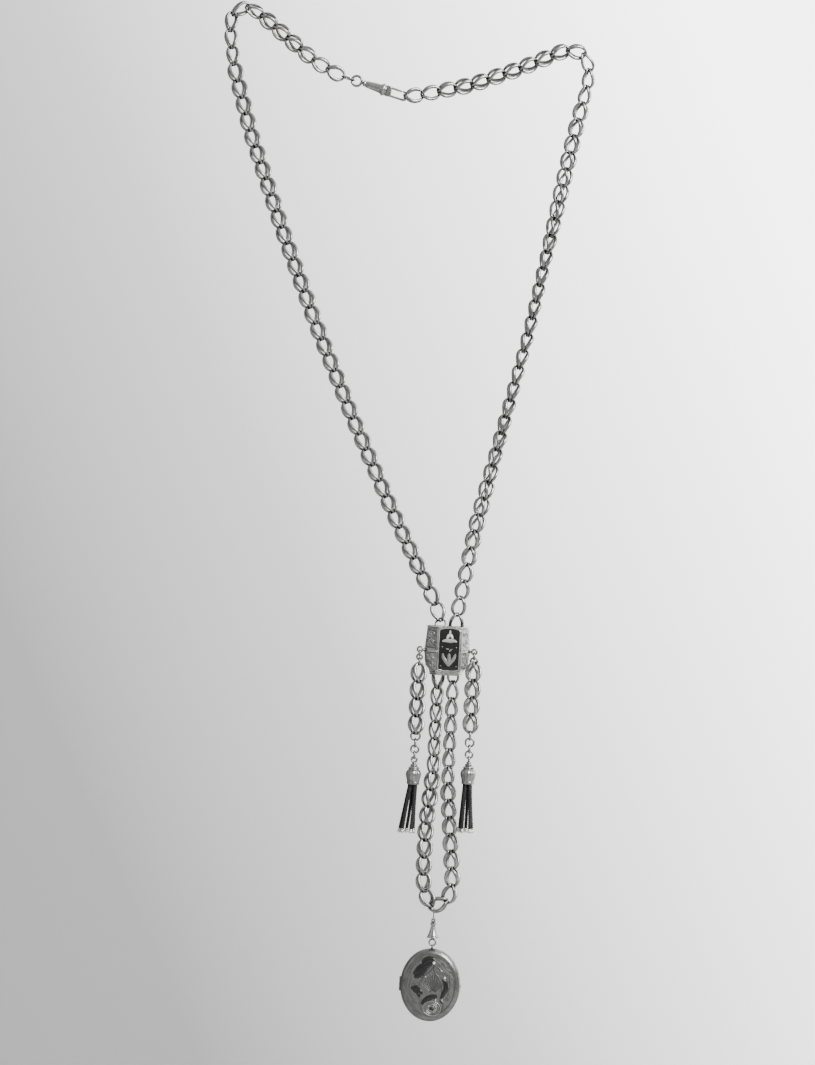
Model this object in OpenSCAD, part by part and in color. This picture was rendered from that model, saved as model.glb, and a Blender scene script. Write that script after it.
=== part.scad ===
// Long slide chain with two tassel drops, a loop below the slide and an oval locket on a swivel.
// The chain hangs in the XZ plane. The origin is midway between the two points that it hangs from.

/* [Chain] */
// Diameter of the wire that the links are made of
wire_d = 0.76; // [0.6:0.02:0.8]
// Distance from one link to the next
pitch = 7.13; // [7.1:0.01:7.2]
// Length of a link, from its folded waist to the tops of its two heads
link_h = 8.5; // [8.45:0.05:8.6]
// Number of links in each drop
drop_links = 4; // [3:1:4]

/* [Slide] */
// Width of the slide at its middle
slide_w = 19.3; // [19:0.1:20]
// Height of the slide
slide_h = 20.6; // [20:0.1:21]
// Thickness of the slide's sheet walls
slide_wall = 0.4; // [0.3:0.05:0.5]

/* [Swivels] */
// Size of the lower swivel beside the upper one
lower_swivel_scale = 0.64; // [0.62:0.01:0.65]

/* [Locket] */
// Width of the locket
locket_w = 25.2; // [24:0.2:26]
// Height of the locket
locket_h = 30.4; // [29:0.2:31]
// Thickness of each half of the locket
locket_half_t = 3.7; // [3.4:0.1:4]

/* [Tassels] */
// Diameter of one tassel cord
cord_d = 1.5; // [1.2:0.02:1.5]
// Length of the tassel cords below the cap
cord_l = 19; // [17:0.5:20]
// Number of cords in each tassel
cord_count = 5; // [5:1:5]

/* [Hidden] */
$fn = 32;

silver = "#b9b9b5";
bright_silver = "#d4d4d0";
black_enamel = "#16161a";
pale_enamel = "#e6e2d8";

// ---- Chain: where its links lie ----
// A run of links is a list of [number of links, heading in degrees], each walked from the point before
function steps(runs) = [for (r = runs) for (i = [1:r[0]]) r[1]];
function toward(a) = [cos(a), sin(a)];
function walk(from, headings, i = 0) =
    i == len(headings) ? [from]
    : concat([from], walk(from + pitch * toward(headings[i]), headings, i + 1));
function last(v) = v[len(v) - 1];
function slice(v, from, to) = [for (i = [from:to]) v[i]];

loop_start = [24.4, -313];
run_links = 9;
loop_runs = [[3, -95], [3, -90], [1, -84], [1, -60], [1, 26], [1, 76], [6, 95.7]];
left_runs = [
    [run_links, 90], [1, 110], [6, 118], [6, 116], [6, 114.5], [6, 112.5], [6, 111], [4, 107], [2, 99],
    [1, 88], [1, 34], [1, -28], [4, -38], [1, -30], [1, -24]];
right_runs = [
    [run_links, 90], [1, 87], [5, 81], [12, 77.8], [12, 80], [3, 78], [1, 86],
    [1, 115], [1, 172], [3, 205], [3, 201.5], [3, 194], [1, 188]];
loop_path = walk(loop_start, steps(loop_runs));
left_path = walk(loop_start, steps(left_runs));
right_path = walk(last(loop_path), steps(right_runs));
// How many links each part of a path takes, from the slide upwards
left_parts = [run_links, 7, 7, 8, 8, 7, 3, 6];
right_parts = [run_links, 7, 7, 7, 7, 6, 2, 10];
function part_start(parts, n) = n == 0 ? 0 : parts[n - 1] + part_start(parts, n - 1);
// How far the links are turned about the chain, at each stretch of the two long paths
left_twists = [[0, 0], [12, 15], [24, 10], [34, 20], [41, 30], [45, 0], [56, 0]];
right_twists = [[0, 0], [12, 10], [19, 70], [24, 85], [31, 80], [36, 40], [40, 5], [44, 0], [55, 0]];
loop_twists = [[0, 0], [3, 30], [5, 20], [7, 0], [9, 0], [12, 20], [14, 0], [17, 0]];

// ---- Link: one closed wire loop, folded in two over its waist, with a round head each side ----
waist_x = 0.44;
// Half outline from the front, as across and up, from the waist to the top of the head
link_front = [[waist_x, -0.6], [waist_x, 0.7], [2.4, 4.4], [2.4, 6.5], [1, link_h], [0, link_h]];
// Half outline from the side, as depth and up, from the middle of the waist to the head
link_fold = [[0, 0], [1.5, 0], [2.15, 1.2], [2, 2.4], [0.46, 7], [0.46, link_h + 0.8]];
link_depth = 8;

function unit(v) = v / norm(v);
function left_of(v) = [-v[1], v[0]];
function offset_point(p, i, d) =
    let (a = unit(i > 0 ? p[i] - p[i - 1] : p[1] - p[0]),
         b = i < len(p) - 1 ? unit(p[i + 1] - p[i]) : a,
         n = unit(left_of(a) + left_of(b)))
    p[i] + n * d / (n * left_of(a));
// The whole outline from its half, from the far end on one side through [0, y] to the other
function mirrored_line(half) =
    concat(half, [for (i = [len(half) - 2:-1:0]) [-half[i][0], half[i][1]]]);
function reversed(v) = [for (i = [len(v) - 1:-1:0]) v[i]];

module band(line, width) {
    m = len(line) - 1;
    polygon(concat(
        [for (i = [0:m]) offset_point(line, i, width / 2)],
        [for (i = [m:-1:0]) offset_point(line, i, -width / 2)]));
}

module link() {
    intersection() {
        rotate([90, 0, 0]) linear_extrude(link_depth, center = true) band(mirrored_line(link_front), wire_d);
        rotate([90, 0, 90]) linear_extrude(link_depth, center = true)
            band(mirrored_line(reversed(link_fold)), wire_d);
    }
}

// A link with its waist at one point of the XZ plane, its heads towards another, turned about that line
module link_between(waist, heads, twist) {
    d = heads - waist;
    translate([waist[0], 0, waist[1]]) rotate([0, atan2(d[0], d[1]), 0]) rotate([0, 0, twist]) link();
}

function looked_up(table, x) =
    let (n = max([for (i = [0:len(table) - 2]) if (x >= table[i][0]) i]), a = table[n], b = table[n + 1])
    a[1] + (b[1] - a[1]) * (x - a[0]) / (b[0] - a[0]);

// Links from one index of a path to the next. The heads point onward, or back when backward is true
module chain(path, from, count, twists, backward) {
    color(silver)
        for (i = [from:from + count - 1])
            if (backward) link_between(path[i + 1], path[i], looked_up(twists, i));
            else link_between(path[i], path[i + 1], looked_up(twists, i));
}
module left_chain(n) { chain(left_path, part_start(left_parts, n), left_parts[n], left_twists, false); }
module right_chain(n) { chain(right_path, part_start(right_parts, n), right_parts[n], right_twists, true); }

module neck_bend_left_links() { left_chain(6); }
module neck_bend_right_links() { right_chain(6); }
module back_left_links() { left_chain(7); }
module back_right_links() { right_chain(7); }
module neck_left_links_1() { left_chain(5); }
module neck_left_links_2() { left_chain(4); }
module neck_left_links_3() { left_chain(3); }
module neck_left_links_4() { left_chain(2); }
module neck_left_links_5() { left_chain(1); }
module neck_right_links_1() { right_chain(5); }
module neck_right_links_2() { right_chain(4); }
module neck_right_links_3() { right_chain(3); }
module neck_right_links_4() { right_chain(2); }
module neck_right_links_5() { right_chain(1); }
module slide_run_links() {
    left_chain(0);
    right_chain(0);
}
// The loop is split where its two sides hinge, three links down each side
loop_upper_n = 3;
module loop_upper_links() {
    chain(loop_path, 0, loop_upper_n, loop_twists, true);
    chain(loop_path, len(loop_path) - 1 - loop_upper_n, loop_upper_n, loop_twists, true);
}
module loop_lower_links() {
    chain(loop_path, loop_upper_n, len(loop_path) - 1 - 2 * loop_upper_n, loop_twists, true);
}

// ---- Small rings ----
// A ring whose face looks along Y, or along X when edge_on is true
module ring(centre, r, wire, edge_on = false) {
    translate(centre) rotate([90, 0, edge_on ? 90 : 0]) rotate_extrude() translate([r, 0]) circle(d = wire);
}

// ---- Swivel: its eye is at the origin and its hook points along +Z ----
eye_r = 2.1;
eye_wire = 0.9;
stem_r = 0.7;
stem_head_r = 1.1;
stem_gap = 0.08;
barrel_base_z = 3;
stem_head_z = 5;
stem_end_z = 5.8;
collar_z = 11.5;
collar_r = 2.7;
hook_base_z = 13;
hook_tip_z = 22.85;
hook_t = 1.6;
fine_hook_t = 1;
clevis_t = 2.8;
gate_t = 1;
rivet_z = 14.2;
rivet_r = 0.4;
hook_arm_w = 1.05;
nose_l = 0.9;

module swivel_eye() {
    color(silver) union() {
        ring([0, 0, 0], eye_r, eye_wire);
        translate([0, 0, eye_r]) cylinder(r = stem_r, h = stem_head_z - eye_r + 0.2);
        translate([0, 0, stem_head_z]) cylinder(r = stem_head_r, h = stem_end_z - stem_head_z);
    }
}

// Outlines of the two barrels, as radius and height: one widens to a collar, one is a bell with a knob
collared = [
    [1.3, barrel_base_z], [1.3, 4], [1.5, 4.2], [2, collar_z - 0.4],
    [collar_r, collar_z], [collar_r, collar_z + 0.6], [2.3, hook_base_z]];
bell = [
    [3.6, barrel_base_z], [3.9, 3.3], [3.9, 3.8], [3.3, 4.6], [2.6, 6.4], [1.9, 8.8], [1.45, 11.2],
    [2, 11.7], [2, 12.5], [1.7, hook_base_z]];

module swivel_barrel(outline) {
    color(bright_silver) difference() {
        rotate_extrude() polygon(concat([[0, barrel_base_z]], outline, [[0, hook_base_z]]));
        translate([0, 0, barrel_base_z - 1]) cylinder(r = stem_r + stem_gap, h = 3);
        translate([0, 0, stem_head_z - stem_gap]) cylinder(
            r = stem_head_r + stem_gap, h = stem_end_z - stem_head_z + 2 * stem_gap);
    }
}

// The fixed hook: a base with a slot for the gate, one arm, and a rounded end that comes back to a nose
module swivel_hook(hole, t = hook_t) {
    bend_z = hook_tip_z - hole - hook_arm_w;
    out = hole + hook_arm_w;
    color(bright_silver) difference() {
        union() {
            translate([-out, -clevis_t / 2, hook_base_z]) cube([2 * out, clevis_t, 2.4]);
            translate([hole, -t / 2, hook_base_z]) cube([hook_arm_w, t, bend_z - hook_base_z]);
            intersection() {
                translate([0, 0, bend_z]) rotate([90, 0, 0]) difference() {
                    cylinder(r = out, h = t, center = true);
                    cylinder(r = hole, h = t + 1, center = true);
                }
                translate([-out, -t, bend_z - 0.1]) cube([2 * out, 2 * t, out + 1]);
            }
            translate([-out, -t / 2, bend_z - nose_l]) cube([hook_arm_w, t, nose_l]);
        }
        translate([-out - 1, -gate_t / 2 - 0.1, hook_base_z + 0.3]) cube([out + 1.4, gate_t + 0.2, 3]);
        translate([-out + 0.7, 0, rivet_z]) rotate([90, 0, 0]) cylinder(r = rivet_r, h = 4, center = true);
    }
}

// The sprung gate closes the side of the hook, from its rivet to just short of the nose
module swivel_gate(hole) {
    out = hole + hook_arm_w;
    top_z = hook_tip_z - out - nose_l - 0.15;
    color(silver) difference() {
        union() {
            translate([-out + 0.1, -gate_t / 2, rivet_z]) cube([0.9, gate_t, top_z - rivet_z]);
            translate([-out + 0.7, 0, rivet_z]) rotate([90, 0, 0]) cylinder(r = 0.75, h = gate_t, center = true);
        }
        translate([-out + 0.7, 0, rivet_z]) rotate([90, 0, 0])
            cylinder(r = rivet_r + 0.05, h = 4, center = true);
    }
}

module swivel_rivet(hole) {
    color(silver) translate([-hole - hook_arm_w + 0.7, 0, rivet_z]) rotate([90, 0, 0])
        cylinder(r = rivet_r, h = clevis_t, center = true);
}

// Upper swivel: from the last link on the left to the last link on the right
clasp_from = last(left_path);
clasp_to = last(right_path);
clasp_dir = unit(clasp_to - clasp_from);
clasp_angle = atan2(clasp_dir[0], clasp_dir[1]);
clasp_hole = 1.15;
jump_r = 2.6;
jump_wire = 0.8;
waist_gap = 0.9;
clasp_eye_at = norm(clasp_to - clasp_from) - (hook_tip_z - hook_arm_w - waist_gap);
jump_centre = clasp_eye_at - eye_r - jump_r + (eye_wire + jump_wire) / 2 + 0.1;

module on_clasp(at) {
    translate([clasp_from[0], 0, clasp_from[1]]) rotate([0, clasp_angle, 0]) translate([0, 0, at]) children();
}
module back_jump_ring() { color(silver) on_clasp(jump_centre) ring([0, 0, 0], jump_r, jump_wire, true); }
module back_swivel_eye() { on_clasp(clasp_eye_at) swivel_eye(); }
module back_swivel_barrel() { on_clasp(clasp_eye_at) swivel_barrel(collared); }
module back_swivel_hook() { on_clasp(clasp_eye_at) swivel_hook(clasp_hole); }
module back_swivel_gate() { on_clasp(clasp_eye_at) swivel_gate(clasp_hole); }
module back_swivel_rivet() { on_clasp(clasp_eye_at) swivel_rivet(clasp_hole); }

// Lower swivel: its hook passes through the heads of the link right of the loop's lowest point
hooked_i = 8;
hooked_dir = unit(loop_path[hooked_i] - loop_path[hooked_i + 1]);
hook_wire_at = loop_path[hooked_i + 1] + 6.5 * hooked_dir + 0.9 * [-hooked_dir[1], hooked_dir[0]];
locket_hook_hole = 2;
hook_wire_z = hook_tip_z - hook_arm_w / 2;
locket_x = hook_wire_at[0];
locket_eye_z = hook_wire_at[1] - lower_swivel_scale * hook_wire_z;

module on_locket_swivel(turn = 90) {
    translate([locket_x, 0, locket_eye_z]) rotate([0, 0, turn]) scale(lower_swivel_scale) children();
}
module locket_swivel_hook() { on_locket_swivel() swivel_hook(locket_hook_hole, fine_hook_t); }
module locket_swivel_gate() { on_locket_swivel() swivel_gate(locket_hook_hole); }
module locket_swivel_rivet() { on_locket_swivel() swivel_rivet(locket_hook_hole); }
module locket_swivel_barrel() { on_locket_swivel() swivel_barrel(bell); }
module locket_swivel_eye() { on_locket_swivel(0) swivel_eye(); }

// ---- Slide: a hollow faceted barrel that both strands run through ----
slide_x = (left_path[run_links][0] + right_path[run_links][0]) / 2;
slide_top = -250.7;
slide_bottom = slide_top - slide_h;
slide_front_y = -6.6;
slide_back_y = 3.6;
panel_w = 8.8;
panel_h = 17.4;
panel_top = slide_top - 1.6;
dome = 1.2;
// Half outline from the front, as distance from the middle and height below the top
slide_half = [
    [8.6, 0], [8.6, -1], [slide_w / 2, -10.2], [slide_w / 2, -11.4], [9.1, -slide_h + 4.4],
    [6.6, -slide_h + 1.4], [6.6, -slide_h]];
slide_inner_half = [
    [8.6 - slide_wall, 1], [8.6 - slide_wall, -1], [slide_w / 2 - slide_wall, -10.2],
    [slide_w / 2 - slide_wall, -11.4], [9.1 - slide_wall, -slide_h + 4.6], [6.22, -slide_h + 1.6],
    [6.22, -slide_h - 1]];
function both_sides(half) = concat(half, [for (i = [len(half) - 1:-1:0]) [-half[i][0], half[i][1]]]);

module slide_slab(half, y0, y1) {
    translate([slide_x, y1, slide_top]) rotate([90, 0, 0]) linear_extrude(y1 - y0) polygon(both_sides(half));
}
module slide_box(w, y0, y1, z0, z1) {
    translate([slide_x - w / 2, y0, slide_top + z0]) cube([w, y1 - y0, z1 - z0]);
}

module slide_case() {
    color(bright_silver) difference() {
        union() {
            slide_slab(slide_half, slide_front_y, slide_back_y);
            for (s = [-1, 1]) translate([slide_x + s * 7.9, slide_front_y, slide_top]) rotate([-90, 0, 0])
                cylinder(r = 0.7, h = slide_back_y - slide_front_y);
        }
        slide_slab(slide_inner_half, slide_front_y - 1, slide_back_y + 1);
    }
}
module slide_back_plate() {
    color(bright_silver) slide_slab(
        [for (p = slide_half) [p[0] - 0.1, p[1]]], slide_back_y + 0.02, slide_back_y + 0.5);
}
// Front shell: bevelled all round, with an opening for the enamel panel
module slide_front_shell() {
    color(bright_silver) difference() {
        hull() {
            slide_slab(slide_half, slide_front_y - 0.4, slide_front_y - 0.02);
            slide_slab([for (p = slide_half) [p[0] * 0.8, p[1] * 0.94 - 0.6]],
                slide_front_y - dome, slide_front_y - 0.9);
        }
        slide_box(panel_w, slide_front_y - 3, slide_front_y + 1, -1.6 - panel_h, -1.6);
    }
}
module slide_enamel_panel() {
    color(black_enamel) slide_box(panel_w - 0.1, slide_front_y - dome + 0.25, slide_front_y - 0.02,
        -1.65 - panel_h + 0.1, -1.65);
}
// Pale motif on the panel: a bud over a bar, with a tulip below
module slide_motif() {
    y0 = slide_front_y - dome + 0.25;
    color(pale_enamel) translate([slide_x, y0, panel_top]) rotate([90, 0, 0]) linear_extrude(0.3) {
        translate([0, -3.2]) circle(r = 0.8);
        translate([0, -4.6]) circle(r = 1.15);
        polygon([[-2.9, -6.2], [-2.2, -5.4], [2.2, -5.4], [2.9, -6.2], [2.2, -6.9], [-2.2, -6.9]]);
        polygon([[0, -16], [1.2, -14.6], [2.6, -12.2], [2.2, -11.4], [1.2, -11.9], [0, -10.9],
            [-1.2, -11.9], [-2.2, -11.4], [-2.6, -12.2], [-1.2, -14.6]]);
    }
}
module slide_middle_band() {
    color(silver) for (s = [-1, 1])
        translate([slide_x + s * (slide_w / 2 + 0.02), slide_front_y + 0.3, slide_top - 11.2])
            translate([s > 0 ? 0 : -0.35, 0, 0]) cube([0.35, slide_back_y - slide_front_y - 0.6, 0.8]);
}
// A bowed leaf inside the back plate bears on the strands, so the slide stays where it is put
module slide_grip_spring() {
    color(silver) slide_box(9, slide_back_y - 0.3, slide_back_y, -14, -6);
}
drop_y = -6.2;
drop_out = 11.4;
ring_wire = 0.6;
drop_eye_z = -260.9;
drop_eye_r = 1.05;
module slide_side_eyes() {
    color(silver) for (s = [-1, 1]) union() {
        ring([slide_x + s * drop_out, drop_y, drop_eye_z], drop_eye_r, ring_wire);
        translate([slide_x + s * (slide_w / 2 + 0.37) - 0.35, drop_y - 0.6, drop_eye_z - 0.15])
            cube([0.7, 1.2, 1.2]);
    }
}

// ---- Drops: rings, links, rings and a tassel, on each side of the slide ----
// The left drop's links have their heads up, the right drop's have them down
ring_gap = 0.1;
function next_centre(z, r0, r1) = z - r0 - r1 + ring_wire + ring_gap;
// Ring radii from the slide's eye down to the links: one ring more on the left, so that the last is edge-on
left_hanger_r = [1.15, 1.15, 1.55];
right_hanger_r = [1.4, 1.45];
lower_r = [1.9, 1.75, 1.6, 1.5];
cap_eye_r = 1.1;
function hanger_z(radii, i) =
    i < 0 ? drop_eye_z : next_centre(hanger_z(radii, i - 1), i > 0 ? radii[i - 1] : drop_eye_r, radii[i]);
function hanger_end(radii) = hanger_z(radii, len(radii) - 1) - last(radii);
over_heads = 1.1;
over_waist = 1.1;
head_first = hanger_end(left_hanger_r) + over_heads - link_h;
waist_first = hanger_end(right_hanger_r) + over_waist;
drop_span = pitch * (drop_links - 1);
function lower_z(heads_up, i) =
    i > 0 ? next_centre(lower_z(heads_up, i - 1), lower_r[i - 1], lower_r[i])
    : heads_up ? head_first - drop_span + over_waist - lower_r[0]
    : waist_first - drop_span - link_h + over_heads - lower_r[0];
function cap_eye_z(heads_up) = next_centre(lower_z(heads_up, len(lower_r) - 1), last(lower_r), cap_eye_r);
function cap_top(heads_up) = cap_eye_z(heads_up) - cap_eye_r + 0.1;

module at_drop(s) { translate([slide_x + s * drop_out, drop_y, 0]) children(); }
// Every second ring is edge-on. On the left the ring under the links faces front
module drop_hanger_rings(s) {
    radii = s < 0 ? left_hanger_r : right_hanger_r;
    color(silver) at_drop(s)
        for (i = [0:len(radii) - 1]) ring([0, 0, hanger_z(radii, i)], radii[i], ring_wire, i % 2 == 0);
}
module drop_chain(s) {
    color(silver) at_drop(s) for (i = [0:drop_links - 1])
        if (s < 0) translate([0, 0, head_first - pitch * i]) link();
        else translate([0, 0, waist_first - pitch * i]) rotate([180, 0, 0]) link();
}
module drop_lower_rings(s) {
    color(silver) at_drop(s)
        for (i = [0:len(lower_r) - 1])
            ring([0, 0, lower_z(s < 0, i)], lower_r[i], ring_wire, i % 2 == (s < 0 ? 1 : 0));
}
cap_h = 9.4;
cup_r = 2.25;
cup_l = 1;
cord_in_cup = 0.9;
module tassel_cap(s) {
    color(bright_silver) at_drop(s) {
        ring([0, 0, cap_eye_z(s < 0)], cap_eye_r, ring_wire, s > 0);
        translate([0, 0, cap_top(s < 0)]) rotate_extrude() polygon([
            [0, 0], [0.9, 0], [0.9, -0.7], [1.6, -1], [1.6, -1.7], [2.3, -2.1], [2.5, -3.6], [3.3, -4.1],
            [3.3, -5.1], [2.9, -5.6], [2.75, -6.8], [2.6, -8.4], [2.6, -cap_h], [cup_r, -cap_h],
            [cup_r, -cap_h + cup_l], [0, -cap_h + cup_l]]);
    }
}
// Cords spread from a ring of points in the cup to a fan at the bottom
cord_ring_r = 1.32;
cord_tip_h = 1.6;
function cord_angle(i) = 90 + i * 360 / cord_count;
function cord_top_at(i) = cord_ring_r * toward(cord_angle(i));
function cord_fan(s) = s < 0 ? [-1.7, 1.5] : [0.2, 1.35];
function cord_foot_at(i, s) =
    [cord_fan(s)[0] + cord_fan(s)[1] * 2 * cos(cord_angle(i)), 1.5 * sin(cord_angle(i))];
module along_cord(i, s) {
    a = cord_top_at(i);
    b = cord_foot_at(i, s);
    v = [b[0] - a[0], b[1] - a[1], -cord_l - cord_in_cup];
    at_drop(s) translate([a[0], a[1], cap_top(s < 0) - cap_h + cord_in_cup])
        rotate([0, acos(v[2] / norm(v)), atan2(v[1], v[0])]) children();
}
function cord_run(s, i) = norm(concat(cord_foot_at(i, s) - cord_top_at(i), [cord_l + cord_in_cup]));
module tassel_cords(s) {
    color(black_enamel) for (i = [0:cord_count - 1]) along_cord(i, s) cylinder(d = cord_d, h = cord_run(s, i));
}
module tassel_tips(s) {
    color(bright_silver) for (i = [0:cord_count - 1]) along_cord(i, s) translate([0, 0, cord_run(s, i)])
        rotate_extrude() polygon([
            [0, 0.01], [0.6, 0.01], [0.85, 0.4], [0.85, cord_tip_h - 0.5], [0.45, cord_tip_h], [0, cord_tip_h]]);
}

module left_drop_hanger_rings() { drop_hanger_rings(-1); }
module left_drop_links() { drop_chain(-1); }
module left_drop_lower_rings() { drop_lower_rings(-1); }
module left_tassel_cap() { tassel_cap(-1); }
module left_tassel_cords() { tassel_cords(-1); }
module left_tassel_tips() { tassel_tips(-1); }
module right_drop_hanger_rings() { drop_hanger_rings(1); }
module right_drop_links() { drop_chain(1); }
module right_drop_lower_rings() { drop_lower_rings(1); }
module right_tassel_cap() { tassel_cap(1); }
module right_tassel_cords() { tassel_cords(1); }
module right_tassel_tips() { tassel_tips(1); }

// ---- Locket: two domed oval halves on a side hinge ----
bow_r = 0.8;
bow_wire = 0.5;
bow_z = locket_eye_z - lower_swivel_scale * (eye_r - eye_wire / 2) - bow_r + bow_wire / 2 + ring_gap;
locket_top = bow_z - bow_r - bow_wire / 2 - 0.05;
locket_z = locket_top - locket_h / 2;
hinge_x = -locket_w / 2 + 0.15;
hinge_r = 0.6;
hinge_l = 6;
pin_r = 0.25;
halves_gap = 0.05;
sheet = 0.8;

// An oval slab: its outline is drawn in by inset, and it lies from y0 to y1
module oval(inset, y0, y1) {
    a = locket_w / 2 - inset;
    b = locket_h / 2 - inset;
    translate([locket_x, y1, locket_z]) rotate([90, 0, 0]) linear_extrude(y1 - y0)
        polygon([for (i = [0:47]) [a * cos(7.5 * i), b * sin(7.5 * i)]]);
}
// The same slab on one side of the middle plane, from v0 to v1 away from it; side is -1 in front
module inner_oval(side, inset, v0, v1) {
    if (side > 0) oval(inset, v0, v1);
    else oval(inset, -v1, -v0);
}
// One half as a solid dome whose flat side lies halves_gap from the middle plane
module half_dome(side, t) {
    hull() {
        inner_oval(side, 0.25, halves_gap, halves_gap + 0.1);
        inner_oval(side, 0, halves_gap + 0.5, t * 0.45);
        inner_oval(side, 0.9, t * 0.8, t * 0.85);
        inner_oval(side, 2.2, t - 0.1, t);
    }
}
module hollow(side) { inner_oval(side, 1.5, halves_gap - 1, locket_half_t - sheet); }
module knuckle(z0, z1) {
    translate([locket_x + hinge_x, 0, locket_z + z0]) cylinder(r = hinge_r, h = z1 - z0);
    translate([locket_x + hinge_x, -0.35, locket_z + z0]) cube([1.2, 0.7, z1 - z0]);
}
module hinge_bore(gap) {
    translate([locket_x + hinge_x, 0, locket_z - hinge_l]) cylinder(r = pin_r + gap, h = 2 * hinge_l);
}
module hinge_room(z0, z1) {
    translate([locket_x + hinge_x, 0, locket_z + z0 - 0.1]) cylinder(r = hinge_r + 0.15, h = z1 - z0 + 0.2);
}
third = hinge_l / 6;
// A saddle on the edge of the back half holds the foot of the bow
module saddle() {
    difference() {
        translate([locket_x - 0.45, 0.12, locket_top - 0.6]) cube([0.9, 0.75, 1.3]);
        ring([locket_x, 0, bow_z], bow_r, bow_wire + 0.04, true);
        translate([locket_x - 1, 0, bow_z]) rotate([0, 90, 0]) cylinder(r = bow_r - bow_wire / 2, h = 2);
    }
}
module locket_back_cover() {
    color(silver) difference() {
        union() {
            difference() {
                half_dome(1, locket_half_t);
                hollow(1);
                hinge_room(-hinge_l / 2, hinge_l / 2);
            }
            difference() {
                knuckle(-third, third);
                translate([locket_x + hinge_x + 0.5, -2, locket_z - third]) cube([3, 2, 2 * third]);
            }
            saddle();
        }
        hinge_bore(0);
    }
}
module locket_front_cover() {
    color(silver) difference() {
        union() {
            difference() {
                half_dome(-1, locket_half_t);
                hollow(-1);
                hinge_room(-hinge_l / 2, hinge_l / 2);
            }
            for (s = [-1, 1]) difference() {
                knuckle(s > 0 ? third + 0.1 : -hinge_l / 2, s > 0 ? hinge_l / 2 : -third - 0.1);
                translate([locket_x + hinge_x + 0.5, 0, locket_z - hinge_l / 2]) cube([3, 2, hinge_l]);
            }
            translate([locket_x + locket_w / 2 - 0.2, -0.9, locket_z - 1]) cube([0.5, 0.7, 2]);
        }
        hinge_bore(0.05);
    }
}
module locket_hinge_pin() {
    color(silver) translate([locket_x + hinge_x, 0, locket_z - hinge_l / 2]) cylinder(r = pin_r, h = hinge_l);
}
module locket_bow() {
    color(silver) ring([locket_x, 0, bow_z], bow_r, bow_wire, true);
}
// Each half holds an inner oval frame with a glass in it
module inner_frame(side) {
    color(bright_silver) difference() {
        inner_oval(side, 1.55, 0.4, 1.2);
        inner_oval(side, 3, 0.3, 1.3);
    }
}
module locket_back_frame() { inner_frame(1); }
module locket_front_frame() { inner_frame(-1); }
module locket_back_glass() { color("lightcyan") inner_oval(1, 1.6, 1.22, 1.6); }
module locket_front_glass() { color("lightcyan") inner_oval(-1, 1.6, 1.22, 1.6); }

// Ornament on the front: black leaf sprays round a rosette, set with pearls
leaf_t = 0.3;
module on_front(x, z) {
    translate([locket_x + x, -locket_half_t, locket_z + z]) rotate([90, 0, 0]) children();
}
module leaf(x, z, l, w, turn) {
    on_front(x, z) rotate([0, 0, turn]) linear_extrude(leaf_t) polygon(concat(
        [for (i = [0:6]) [l * i / 6, w / 2 * sin(30 * i)]],
        [for (i = [5:-1:1]) [l * i / 6, -w / 2 * sin(30 * i)]]));
}
module locket_leaves() {
    color(black_enamel) {
        for (i = [0:3]) leaf(-5.4 + 1.9 * i, 6.2 + 1.1 * i, 4.2, 1.5, 100 - 18 * i);
        for (i = [0:2]) leaf(-7.6 + 1.5 * i, 0.2 - 1.5 * i, 3.6, 1.4, 160 + 24 * i);
        for (i = [0:3]) leaf(6.6 - 0.5 * i, 2.4 - 2.9 * i, 3, 1.2, -66 - 14 * i);
        for (i = [0:2]) leaf(-3.4 + 2.2 * i, -7 + 1.2 * i, 2.5, 1.1, 28);
    }
}
rosette_z = -10;
module locket_rosette() {
    color(silver) on_front(0.8, rosette_z) difference() {
        cylinder(r = 1.9, h = 0.5);
        translate([0, 0, 0.25]) cylinder(r = 0.6, h = 1);
    }
}
module locket_pearls() {
    color(pale_enamel) for (p = [[2.3, 9], [4.7, 6.2], [6.1, 4.3], [2.2, -5.9], [3.6, -6.6]])
        on_front(p[0], p[1]) intersection() {
            sphere(r = 0.5);
            translate([-1, -1, 0.01]) cube(2);
        }
}

neck_bend_left_links();
neck_bend_right_links();
back_left_links();
back_right_links();
back_jump_ring();
back_swivel_eye();
back_swivel_barrel();
back_swivel_hook();
back_swivel_gate();
back_swivel_rivet();
neck_left_links_1();
neck_left_links_2();
neck_left_links_3();
neck_left_links_4();
neck_left_links_5();
neck_right_links_1();
neck_right_links_2();
neck_right_links_3();
neck_right_links_4();
neck_right_links_5();
slide_run_links();
slide_case();
slide_back_plate();
slide_front_shell();
slide_enamel_panel();
slide_motif();
slide_middle_band();
slide_grip_spring();
slide_side_eyes();
loop_upper_links();
loop_lower_links();
left_drop_hanger_rings();
left_drop_links();
left_drop_lower_rings();
left_tassel_cap();
left_tassel_cords();
left_tassel_tips();
right_drop_hanger_rings();
right_drop_links();
right_drop_lower_rings();
right_tassel_cap();
right_tassel_cords();
right_tassel_tips();
locket_swivel_hook();
locket_swivel_gate();
locket_swivel_rivet();
locket_swivel_barrel();
locket_swivel_eye();
locket_bow();
locket_back_cover();
locket_front_cover();
locket_hinge_pin();
locket_back_frame();
locket_front_frame();
locket_back_glass();
locket_front_glass();
locket_leaves();
locket_rosette();
locket_pearls();
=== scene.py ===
"""Looks of the slide chain with two tassel drops and an oval locket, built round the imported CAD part."""
import math
import bmesh
import bpy
import numpy as np
from mathutils import Matrix, Vector


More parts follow.
